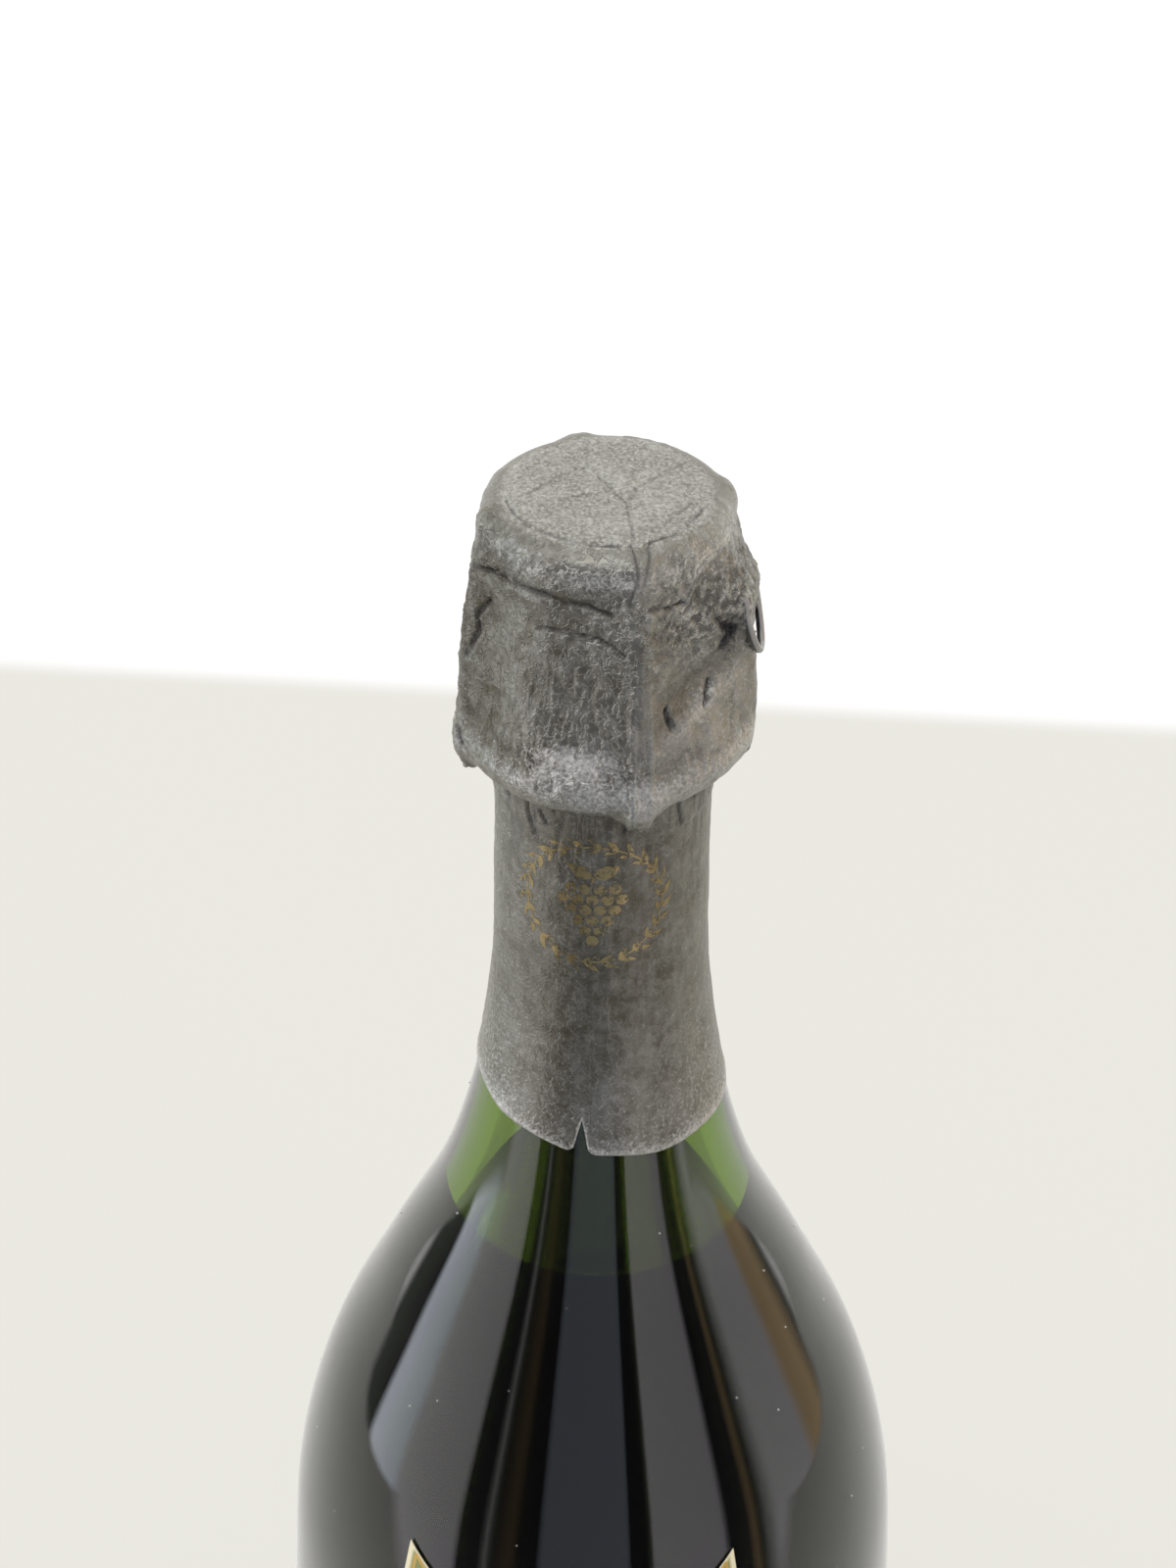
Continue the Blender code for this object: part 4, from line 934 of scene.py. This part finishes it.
# %% The neck foil
SLEEVE_ROWS = 120
SLEEVE_COLUMNS = 300
SLIT_COLUMNS = 28  # of them, close together round the slit
SLEEVE_LIFT = 0.42
SLEEVE_TOP = 266.8
SLEEVE_BOTTOM = 218.4
SLIT_AZIMUTH = -7.5
SLIT_HALF_WIDTH = 0.95
SLIT_HEIGHT = 5.4
SLIT_ARM = 17.0  # radius of the foil at the slit, mm
NECK_ARM = 14.4  # and higher up
FLANGE = ((14.2, 267.8), (14.3, 269.2), (14.4, 270.6), (14.6, 272.0), (14.9, 273.4))  # mm

even = np.linspace(-180, 180, SLEEVE_COLUMNS - SLIT_COLUMNS)
by_slit = SLIT_AZIMUTH + np.linspace(-7, 7, SLIT_COLUMNS)
azimuth = np.sort([*even, *by_slit])[None, :]
turn = np.radians(azimuth)
from_slit = np.abs(np.radians(azimuth - SLIT_AZIMUTH)) * SLIT_ARM
edge = SLEEVE_BOTTOM - 2.0 * np.sin(turn) - 1.6 * np.cos(turn) + 0.15 * np.sin(turn * 9)
edge += SLIT_HEIGHT * np.clip(1 - from_slit / SLIT_HALF_WIDTH, 0, 1) ** 0.8
edge += 0.6 * bump(from_slit, SLIT_HALF_WIDTH, 0.5)
rise = np.linspace(0, 1, SLEEVE_ROWS)[:, None]
height = edge + (SLEEVE_TOP - edge) * rise
wall = belly_outline() / MM
radius = np.interp(height, wall[:, 1], wall[:, 0]) + SLEEVE_LIFT
lip = smooth_curve(FLANGE, 5)
flange = np.broadcast_to(lip[:, :, None], (len(lip), 2, SLEEVE_COLUMNS))
height = np.vstack([height, flange[:, 1]])
radius = np.vstack([radius, flange[:, 0]])
turn = np.broadcast_to(turn, radius.shape)
azimuth = np.broadcast_to(azimuth, radius.shape)
base = np.dstack([radius * np.sin(turn), -radius * np.cos(turn), height])
print(f"neck foil: {height.min():.1f} to {height.max():.1f} mm high")

# %% The neck foil's relief
NECK_CREASES = (  # azimuths and levels
    ((-58, 272.1), (-56, 270.0)), ((-39, 273.4), (-41, 270.0), (-38, 266.3)),
    ((-33, 271.0), (-29, 268.8)), ((10, 271.7), (11, 269.2)), ((41, 271.4), (44, 267.8)),
    ((52, 272.6), (53, 270.6)),
)
loose = grown(height, 258, 268)
strips = rough(base, 1.2, 4.0, 12.0)
relief = 0.12 * rough(base, 6.0, 1.0) + 0.05 * rough(base, 1.6, 6.0)
relief -= 0.10 * ridged(strips, 4.5) * (0.3 + loose)
worms = ridged(rough(base, 1.3, 13.0), 5)
relief += 0.12 * worms * bump(azimuth, 40, 30) * loose
cracked = np.zeros_like(radius)
for line in NECK_CREASES:
    on_line = near_line(azimuth, height, math.radians(NECK_ARM), line, 0.20)
    cracked = np.maximum(cracked, on_line)
relief -= 0.4 * cracked
at_edge = np.exp(-((height - edge) / 0.9))
relief += 0.12 * at_edge
print(f"neck foil's relief: {relief.min():.2f} to {relief.max():.2f} mm")

# %% The neck foil's finish
shape = base + normals_of(base) * relief[:, :, None]
# Painted light and shade: the sleeve's front is painted darker and its sides paler, and its
# creases, grooves and its top under the hood's roll are painted near black as shade. It is also
# paler at its cut edge and towards its foot.
sleeve = draped("foil_neck_skin", shape * MM, {
    "wear_and_painted_shading": np.clip(relief * 0.9, -0.2, 0.3) + 0.05
            - bump(azimuth, 5, 45) * (0.14 + 0.16 * grown(height, 226, 240)),
    "bloom_and_painted_light": np.clip(0.45 * at_edge + 0.22 * bump(azimuth, -80, 34) + 0.14 * bump(azimuth, 75, 30)
                     + 0.15 * grown(height, 240, 220), 0, 1),
    "crumple": np.clip(0.26 + 0.3 * loose * worms, 0, 1),
    "drawn": np.full_like(radius, 0.3),
    "painted_shade": np.clip(0.35 * ridged(strips, 5) * (0.25 + loose) + 1.1 * cracked
                     + 0.20 * grown(height, 269.5, 272.5), 0, 0.95),
}, foil_finish)
finish_sheet(sleeve, FOIL_THICKNESS)
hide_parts("foil_neck")
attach(sleeve, "bottle")

# %% [markdown]
# ## Under the foil
# The cork, its cap and the wire cage show when the foil comes off. The cork's body is pressed
# from granules and its foot is two discs of natural cork, so the one looks like crumbs and the
# other has dark pores. The cap is pressed from thin sheet, and the wires are dull steel.

# %% Cork: finish
CORK_GRANULES = 620.0
CORK_PORES = 1500.0

cork_finish, tree, shader = new_material("moulded_cork_granules", Roughness=0.85)
spot = add_node(tree, "TexCoord").outputs["Object"]
granules = add_node(tree, "TexVoronoi", values={"Scale": CORK_GRANULES}, links={"Vector": spot})
pores = add_noise(tree, spot, CORK_PORES, 4.0)
tones = two_tones(tree, granules.outputs["Color"], (0.0, "#a8794a"), (1.0, "#d0a472"))
dark = remap(tree, pores, 0.56, 0.66, 0.0, 0.75)
tree.links.new(mix_colours(tree, dark, tones, "#6e4526"), shader.inputs["Base Color"])
rise = add_node(tree, "Bump", values={"Strength": 0.5, "Distance": 0.2 * MM},
                links={"Height": granules.outputs["Distance"]})
tree.links.new(rise.outputs[0], shader.inputs["Normal"])

natural_finish, tree, shader = new_material("natural_cork", Roughness=0.8)
spot = add_node(tree, "TexCoord").outputs["Object"]
tones = two_tones(tree, add_noise(tree, spot, 700.0, 5.0), (0.32, "#7c4f2b"), (0.46, "#cfa878"))
tree.links.new(tones, shader.inputs["Base Color"])
print("cork finishes:", cork_finish.name, "and", natural_finish.name)

# %% Cap and wire: finish
cap_finish, tree, shader = new_material("lacquered_cap", Metallic=0.9, Roughness=0.3,
                                        Base_Color=linear("#b29a62"))
wire_finish, tree, shader = new_material("galvanised_steel_wire", Metallic=1.0,
                                         Base_Color=linear("#8f8e8a"))
spot = add_node(tree, "TexCoord").outputs["Object"]
dulling = remap(tree, add_noise(tree, spot, 900.0, 3.0), 0.0, 1.0, 0.18, 0.55)
tree.links.new(dulling, shader.inputs["Roughness"])
print("metal finishes:", cap_finish.name, "and", wire_finish.name)

# %% Cork: shapes
CORK_ROUND = 1.6 * MM
CORK_SEAT_RADIUS = 12.0 * MM
CORK_SEAT = 294.3 * MM
CORK_STEPS = 96
DISC_CHAMFERS = (("cork_disc_upper", 0.05 * MM), ("cork_disc_lower", 0.6 * MM))

low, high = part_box("cork_body")
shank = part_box("cork_disc_upper")[1].x
outline = [(0.0, high.z)]
outline += arc((high.x - CORK_ROUND, high.z - CORK_ROUND), CORK_ROUND, 0, 90, 6)
ease = (high.x - CORK_SEAT_RADIUS, 0.38 * (high.z - CORK_SEAT))
outline += arc((CORK_SEAT_RADIUS, CORK_SEAT + ease[1]), ease, 90, 180, 8)[:-1]
outline += [(CORK_SEAT_RADIUS, CORK_SEAT), (shank, CORK_SEAT), (shank, low.z), (0.0, low.z)]
cork = turned("moulded_cork", outline, CORK_STEPS, cork_finish)
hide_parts("cork_body")
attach(cork, "cork")
for node, chamfer in DISC_CHAMFERS:
    low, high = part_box(node)
    outline = [(0.0, high.z), (shank, high.z), (shank, low.z + chamfer),
               (shank - chamfer, low.z), (0.0, low.z)]
    disc = turned(node + "_fine", outline, CORK_STEPS, natural_finish)
    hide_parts(node)
    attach(disc, "cork")

# %% Cap: shape
CAP_LEDGE = 308.2 * MM
CAP_DISC_RADIUS = 11.4 * MM
CAP_SHEET = 0.3 * MM
CAP_ROUND = 1.1 * MM
CAP_SINK = 0.2 * MM  # the top lies below its raised ring
EMBOSSED = ((10.2, 0.0), (9.9, 0.18), (9.5, 0.18), (9.2, 0.0))  # a plain raised ring, mm

low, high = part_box("cork_cap")
cap_face = high.z - CAP_SINK
outline = [(0.0, cap_face)]
outline += [(out * MM, cap_face + up * MM) for out, up in EMBOSSED[::-1]]
outline += arc((CAP_DISC_RADIUS - CAP_SHEET, high.z - CAP_SHEET), CAP_SHEET, 0, 90, 4)
outline += [(CAP_DISC_RADIUS, CAP_LEDGE + 0.05 * MM)]
corner = (high.x - CAP_ROUND, CAP_LEDGE - CAP_ROUND)
outline += arc(corner, CAP_ROUND, 0, 90, 8)
outline += [(high.x, low.z), (high.x - CAP_SHEET, low.z)]
outline += arc(corner, CAP_ROUND - CAP_SHEET, 90, 0, 6)
cap_inside = cap_face - CAP_SHEET
outline += [(CAP_DISC_RADIUS - CAP_SHEET, CAP_LEDGE - CAP_SHEET),
            (CAP_DISC_RADIUS - CAP_SHEET, cap_inside), (0.0, cap_inside)]
cap = turned("cap", outline, 128, cap_finish)
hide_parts("cork_cap")
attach(cap, "cage")

# %% [markdown]
# The cage's four wires lie on the cap as a ring, and two of them run down each leg as a twist
# that opens into an eye for the belt. The belt's ends are twisted into the key. A wire is best
# drawn as a curve of points from formulas, given a round thickness: turning each strand about
# the middle of its leg gives the twist, and widening it gives the eye.

# %% Wires: sizes and tools
STRAND = 0.85 * MM
LEG_SPREAD = 0.55 * MM
LEG_RADIUS = 17.275 * MM
LEG_TOP_RADIUS = 15.275 * MM
LEG_TOP = 301.6 * MM
LEG_EASED = 13.8 * MM
LEG_TURNS = 4
EYE_TOP = 279.3 * MM
EYE_HEIGHT = 5.6 * MM
EYE_WIDTH = 3.6 * MM
TAIL = 1.6 * MM
RING_RADIUS = 12.4 * MM
RING_HEIGHT = 308.925 * MM
BELT_WIRE = 1.0 * MM
BELT_HEIGHT = 276.5 * MM
KEY_SPREAD = 0.74 * MM
KEY_RADIUS = 17.54 * MM
KEY_TURNS = 3
KEY_ROOT = 1.2 * MM
KEY_TWIST = 12.0 * MM
KEY_LOOP_WIDTH = 8.5 * MM
KEY_LOOP_LENGTH = 21.0 * MM
KEY_LEAN = 2.4 * MM
KEY_RISE = 8.5 * MM
KEY_HOOK_RADIUS = 1.2 * MM
KEY_FLARE = 0.22  # how far the hook stands off, for each length that it falls


def polar(out, turn, up):
    """The point at a radius, an azimuth in radians and a height."""
    return Vector((out * math.sin(turn), -out * math.cos(turn), up))


def wire(name, points, diameter):
    """A round wire through points, as a mesh with rounded ends."""
    curve = bpy.data.curves.new(name, "CURVE")
    curve.dimensions = "3D"
    curve.bevel_depth = diameter / 2
    curve.bevel_resolution = 3
    curve.use_fill_caps = True
    line = curve.splines.new("POLY")
    line.points.add(len(points) - 1)
    for spot, point in zip(line.points, points):
        spot.co = (*point, 1.0)
    piece = put_in_scene(name, curve)
    select_only(piece)
    bpy.ops.object.convert(target="MESH")
    bpy.ops.object.shade_smooth_by_angle(angle=math.radians(50))
    piece = bpy.context.object
    piece.data.materials.append(wire_finish)
    print(f"{name}: {len(piece.data.polygons)} faces")
    return piece


# %% The cage's wires
RING_GAP = 1.9 * MM  # from the middle of a leg to the end of a wire's part of the ring


def strand(leg, side):
    """One strand of a leg, from the cap's edge down through twist and eye to its tail."""
    clear = CAP_ROUND + 0.3 * MM + STRAND / 2
    places = [(*spot, 0.0, LEG_SPREAD) for spot in arc(corner, clear, 0, 90, 8)]
    for share in np.linspace(0, 1, 90):
        up = LEG_TOP + (EYE_TOP - LEG_TOP) * share
        lean = min(1.0, (LEG_TOP - up) / LEG_EASED)
        out = LEG_TOP_RADIUS + (LEG_RADIUS - LEG_TOP_RADIUS) * lean
        places.append((out, up, share * LEG_TURNS * math.tau, LEG_SPREAD))
    for share in np.linspace(0, 1, 20)[1:]:
        wide = LEG_SPREAD + (EYE_WIDTH / 2 - LEG_SPREAD) * math.sin(share * math.pi) ** 1.5
        places.append((LEG_RADIUS, EYE_TOP - EYE_HEIGHT * share, 0.0, wide))
    for share in np.linspace(0, 1, 6)[1:]:
        up = EYE_TOP - EYE_HEIGHT - TAIL * share
        places.append((LEG_RADIUS, up, share * math.pi / 2, LEG_SPREAD))
    return [polar(out + side * wide * math.sin(twirl),
                  leg + side * wide * math.cos(twirl) / out, up)
            for out, up, twirl, wide in places]


for number in range(4):
    start = math.radians(FRONT_LEG) + number * math.pi / 2
    first = start + RING_GAP / RING_RADIUS
    last = start + math.pi / 2 - RING_GAP / RING_RADIUS
    ring = [polar(RING_RADIUS, turn, RING_HEIGHT) for turn in np.linspace(first, last, 32)]
    path = strand(start, 1)[::-1] + ring + strand(start + math.pi / 2, -1)
    cage_wire = wire(f"fine_cage_wire_{number + 1}", path, STRAND)
    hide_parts(f"cage_wire_{number + 1}")
    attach(cage_wire, "cage")


# %% The key
def key_hook(along):
    """Way out and up on the loop's side view: it leans in, then hooks out and down."""
    rise = min(along, KEY_RISE)
    bend = min(max(along - KEY_RISE, 0.0) / KEY_HOOK_RADIUS, math.pi)
    drop = max(0.0, along - KEY_RISE - math.pi * KEY_HOOK_RADIUS)
    flare = KEY_FLARE * max(0.0, drop - KEY_HOOK_RADIUS)
    out = KEY_HOOK_RADIUS * (1 - math.cos(bend)) - KEY_LEAN * rise / KEY_RISE + flare
    return out, KEY_ROOT + KEY_TWIST + rise + KEY_HOOK_RADIUS * math.sin(bend) - drop


rising = [(KEY_SPREAD, 0.0, 0.0)]
for share in np.linspace(0, 1, 70):
    twirl = KEY_TURNS * math.tau * share
    rising.append((KEY_SPREAD * math.cos(twirl), KEY_SPREAD * math.sin(twirl),
                   KEY_ROOT + KEY_TWIST * share))
falling = [(-sideways, -out, up) for sideways, out, up in reversed(rising)]
open_angle = math.pi - math.asin(2 * KEY_SPREAD / KEY_LOOP_WIDTH)
loop = []
for angle in np.linspace(open_angle, -open_angle, 72)[1:-1]:
    along = KEY_LOOP_LENGTH / 2 * (1 + math.cos(angle))
    loop.append((KEY_LOOP_WIDTH / 2 * math.sin(angle), *key_hook(along)))
outward = polar(1.0, math.radians(KEY_AZIMUTH), 0)
sideward = polar(1.0, math.radians(KEY_AZIMUTH) + math.pi / 2, 0)
path = [outward * (KEY_RADIUS + out) + sideward * sideways + Vector((0, 0, BELT_HEIGHT + up))
        for sideways, out, up in rising + loop + falling]
key = wire("fine_key", path, BELT_WIRE)
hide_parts("cage_key")
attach(key, "key")
belt = bpy.data.objects["belt_wire"]
belt.data.materials.clear()
belt.data.materials.append(wire_finish)

# %% [markdown]
# ## Print and paper
# The old bottle carries a worn gold print on its neck foil and a paper label on its front. Here
# both hold a plain vine motif of simple shapes. The print is a thin layer that lies on the foil,
# with gaps where it has rubbed off.

# %% The gold print
gold_print, tree, shader = new_material("rubbed_gold_leaf_print", Metallic=0.9, Roughness=0.35,
                                        Base_Color=linear("#8a7c58"))
spot = add_node(tree, "TexCoord").outputs["Object"]
rubbed = add_noise(tree, spot, 1300.0, 4.0, Roughness=0.7)
tree.links.new(remap(tree, rubbed, 0.41, 0.47), shader.inputs["Alpha"])
print("print finish:", gold_print.name)

# %% [markdown]
# A motif is drawn flat, from three small shapes: a round spot, a pointed leaf and a stroke. It is
# then mapped onto the bottle, where a Shrinkwrap modifier settles it on what is under it.


# %% Print: flat shapes
def disc_shape(x, y, size, sides=10):
    """A round spot in the plane, as a centre, a rim and its triangles."""
    rim = [(x + size * math.cos(a), y + size * math.sin(a))
           for a in np.linspace(0, math.tau, sides, endpoint=False)]
    return [(x, y), *rim], [(0, k + 1, (k + 1) % sides + 1) for k in range(sides)]


def leaf_shape(x, y, direction, length, width, steps=6):
    """A pointed leaf in the plane, as its midrib and both edges."""
    spots = []
    for share in np.linspace(0, 1, steps + 1):
        half = width / 2 * math.sin(math.pi * share**0.8)
        for offset in (-half, 0.0, half):
            spots.append((x + length * share * math.cos(direction) - offset * math.sin(direction),
                          y + length * share * math.sin(direction) + offset * math.cos(direction)))
    faces = []
    for row in range(0, 3 * steps, 3):
        faces += [(row, row + 1, row + 4, row + 3), (row + 1, row + 2, row + 5, row + 4)]
    return spots, faces


def stroke_shape(line, width):
    """A line of even width in the plane."""
    spots = []
    for here, after in zip(line, [*line[1:], None]):
        if after is not None:
            along = np.subtract(after, here)
            across = np.array((-along[1], along[0])) / np.hypot(*along) * width / 2
        spots += [tuple(here + across), tuple(here - across)]
    return spots, [(k, k + 1, k + 3, k + 2) for k in range(0, 2 * len(line) - 2, 2)]


# %% Print: laying a motif on the bottle
def printed(name, shapes, place, target, lift, material):
    """Lay flat shapes on a surface: place maps them near it, and they then settle onto it."""
    spots, faces = [], []
    for shape_spots, shape_faces in shapes:
        faces += [tuple(len(spots) + corner for corner in face) for face in shape_faces]
        spots += [place(x, y) for x, y in shape_spots]
    mesh = bpy.data.meshes.new(name)
    mesh.from_pydata(spots, [], faces)
    layer = put_in_scene(name, mesh)
    mesh.materials.append(material)
    settle = layer.modifiers.new("settle", "SHRINKWRAP")
    settle.target = target
    settle.wrap_method = "NEAREST_SURFACEPOINT"
    settle.wrap_mode = "ABOVE_SURFACE"
    settle.offset = lift
    select_only(layer)
    bpy.ops.object.modifier_apply(modifier=settle.name)
    print(f"{name}: {len(mesh.polygons)} faces")
    return layer


def grape_bunch(x, y, size):
    """Rows of round grapes that narrow downwards, with a stem and two leaves above."""
    shapes = []
    for row, count in enumerate((4, 5, 4, 3, 2, 1)):
        for place in range(count):
            across = x + (place - (count - 1) / 2) * 2.25 * size
            shapes.append(disc_shape(across, y - row * 1.95 * size, size))
    top = y + 1.2 * size
    shapes.append(stroke_shape([(x, top), (x + 0.2 * size, top + 1.4 * size),
                                (x + size, top + 2.6 * size)], 0.4 * size))
    shapes.append(leaf_shape(x + 0.2 * size, top + size, 0.5, 4.6 * size, 2.4 * size))
    shapes.append(leaf_shape(x, top + size, math.pi - 0.5, 4.6 * size, 2.4 * size))
    return shapes


# %% The seal's print
SEAL_AZIMUTH = -4.5
SEAL_HEIGHT = 257.2
SEAL_LIFT = 0.03 * MM
SEAL_ARM = 14.2  # radius of the neck's foil there, mm
WREATH_RADIUS = 9.3
WREATH_LEAVES = 26
WREATH_STEM = 0.26


def on_neck(x, y):
    """The place of a point of the print on the neck, from its middle in mm."""
    turn = math.radians(SEAL_AZIMUTH) + x / SEAL_ARM
    return polar((SEAL_ARM + 0.5) * MM, turn, (SEAL_HEIGHT + y) * MM)


def on_wreath(turn):
    """A place on the wreath's stem, in the plane."""
    return WREATH_RADIUS * math.cos(turn), WREATH_RADIUS * math.sin(turn)


seal_shapes = grape_bunch(0.0, 2.6, 0.85)
for turn in np.linspace(0, math.tau, WREATH_LEAVES, endpoint=False):
    seal_shapes.append(leaf_shape(*on_wreath(turn), turn + 1.05, 2.7, 0.8))
    seal_shapes.append(leaf_shape(*on_wreath(turn), turn + 2.15, 2.1, 0.6))
stem = [on_wreath(turn) for turn in np.linspace(0, math.tau, 90)]
seal_shapes.append(stroke_shape(stem, WREATH_STEM))
seal = printed("seal_print", seal_shapes, on_neck, sleeve, SEAL_LIFT, gold_print)
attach(seal, "bottle")

# %% [markdown]
# The label is laid out in the plane too, in millimetres from its middle line and its foot: a
# sheet with a scooped top edge that lies on the glass, a gold line along its edges, and the vine
# motif in its middle. Its paper is aged, so its colour wanders a little.

# %% The label's paper
PAPER = 0.12 * MM
EDGE_WIDTH = 0.7  # of the pale cut edge, mm

paper_finish, tree, shader = new_material("aged_label_paper", Roughness=0.6)
spot = add_node(tree, "TexCoord").outputs["Object"]
aged = two_tones(tree, add_noise(tree, spot, 160.0, 6.0), (0.3, "#6f7040"), (0.75, "#8d8b52"))
at_rim = add_node(tree, "Attribute", {"attribute_name": "edge"}).outputs["Fac"]
tree.links.new(mix_colours(tree, at_rim, aged, "#d9d0b0"), shader.inputs["Base Color"])
grain = add_node(tree, "Bump", values={"Strength": 0.2, "Distance": 0.02 * MM},
                 links={"Height": add_noise(tree, spot, 3000.0)})
tree.links.new(grain.outputs[0], shader.inputs["Normal"])
print("paper finish:", paper_finish.name)

# %% The label's sheet
LABEL_AZIMUTH = -4.5
LABEL_HALF = 28.0  # mm, as all of the label's sizes
LABEL_BOTTOM = 64.0
LABEL_TOP = 156.0
LABEL_SCOOP = 10.0
LABEL_SKEW = 1.4
LABEL_LIFT = 0.42
LABEL_COLUMNS = 90
LABEL_ROWS = 110


def on_body(x, y):
    """The place of a point of the label on the glass, from its middle line and the ground."""
    out = np.interp(y, wall[:, 1], wall[:, 0]) + LABEL_LIFT
    turn = math.radians(LABEL_AZIMUTH) + x / (BODY_RADIUS / MM)
    return polar(out * MM, turn, y * MM)


side_step = np.linspace(-1, 1, LABEL_COLUMNS)
x = LABEL_HALF * np.broadcast_to(side_step, (LABEL_ROWS, LABEL_COLUMNS))
top = LABEL_TOP - LABEL_SCOOP * (1 - side_step**2)
share = np.linspace(0, 1, LABEL_ROWS)[:, None]
y = LABEL_BOTTOM + (top - LABEL_BOTTOM) * share + LABEL_SKEW * side_step
places = np.array([[on_body(*spot) for spot in zip(*row)] for row in zip(x, y)])
inset = np.minimum(LABEL_HALF - np.abs(x), np.minimum(y - y[:1], y[-1:] - y))
paper = draped("label_sheet", places, {"edge": 1.0 * (inset < EDGE_WIDTH)}, paper_finish)
finish_sheet(paper, PAPER)
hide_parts("front_label")
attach(paper, "bottle")

# %% The label's print
LABEL_BORDER = 1.6
BORDER_WIDTH = 0.5
BORDER_POINTS = 60
RULES = (78.0, 84.0)  # heights of two thin lines, with a row of leaves between them
label_gold, tree, shader = new_material("gold_label_ink", Metallic=0.85, Roughness=0.4,
                                        Base_Color=linear("#b99a55"))

border_half = LABEL_HALF - LABEL_BORDER
steps = np.linspace(-1, 1, BORDER_POINTS)
border_top, border_foot = LABEL_TOP - LABEL_BORDER, LABEL_BOTTOM + LABEL_BORDER
top_line = [(a * border_half, border_top - LABEL_SCOOP * (1 - a**2) + LABEL_SKEW * a)
            for a in steps]
foot_line = [(a * border_half, border_foot + LABEL_SKEW * a) for a in steps[::-1]]
left_line = [(-border_half, up)
             for up in np.linspace(foot_line[-1][1], top_line[0][1], BORDER_POINTS)]
right_line = [(border_half, up)
              for up in np.linspace(top_line[-1][1], foot_line[0][1], BORDER_POINTS)]
label_shapes = [stroke_shape(line, BORDER_WIDTH)
                for line in (top_line, foot_line, left_line, right_line)]
label_shapes += grape_bunch(0.0, 112.0, 2.1)
for up in RULES:
    label_shapes.append(stroke_shape([(a, up) for a in np.linspace(-17, 17, 40)], 0.35))
for across in np.linspace(-15, 15, 11):
    label_shapes.append(leaf_shape(across - 1.0, sum(RULES) / 2, 0.35, 2.6, 1.2))
ink = printed("label_print", label_shapes, on_body, paper, 0.03 * MM, label_gold)
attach(ink, "bottle")

# %% [markdown]
# A few dust specks have settled on the shoulder, where the glass lies nearly flat. A speck is a
# small rough ball, and all of them are joined into one piece.

# %% Dust
DUST_COUNT = 70
DUST_SIZES = (0.06, 0.17)
DUST_HEIGHTS = (128, 213)
dust_finish, tree, shader = new_material("settled_dust", Roughness=0.9,
                                         Base_Color=linear("#c9c8c2"))
chance = np.random.default_rng(7)
grains = []
for _ in range(DUST_COUNT):
    up = chance.uniform(*DUST_HEIGHTS)
    size = chance.uniform(*DUST_SIZES)
    bpy.ops.mesh.primitive_ico_sphere_add(subdivisions=1, radius=size * MM)
    grain = bpy.context.object
    out = np.interp(up, wall[:, 1], wall[:, 0]) + size * 0.4
    turn = math.radians(chance.uniform(-180, 180))
    grain.location = polar(out * MM, turn, up * MM)
    grain.rotation_euler = chance.uniform(0, 3, 3)
    grains.append(grain)
bpy.ops.object.select_all(action="DESELECT")
for grain in grains:
    grain.select_set(True)
bpy.context.view_layer.objects.active = grains[0]
bpy.ops.object.join()
bpy.ops.object.transform_apply(location=True, rotation=True, scale=True)
dust = bpy.context.object
dust.name = "dust"
dust.data.materials.clear()
dust.data.materials.append(dust_finish)
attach(dust, "bottle")
print(f"dust: {DUST_COUNT} specks")
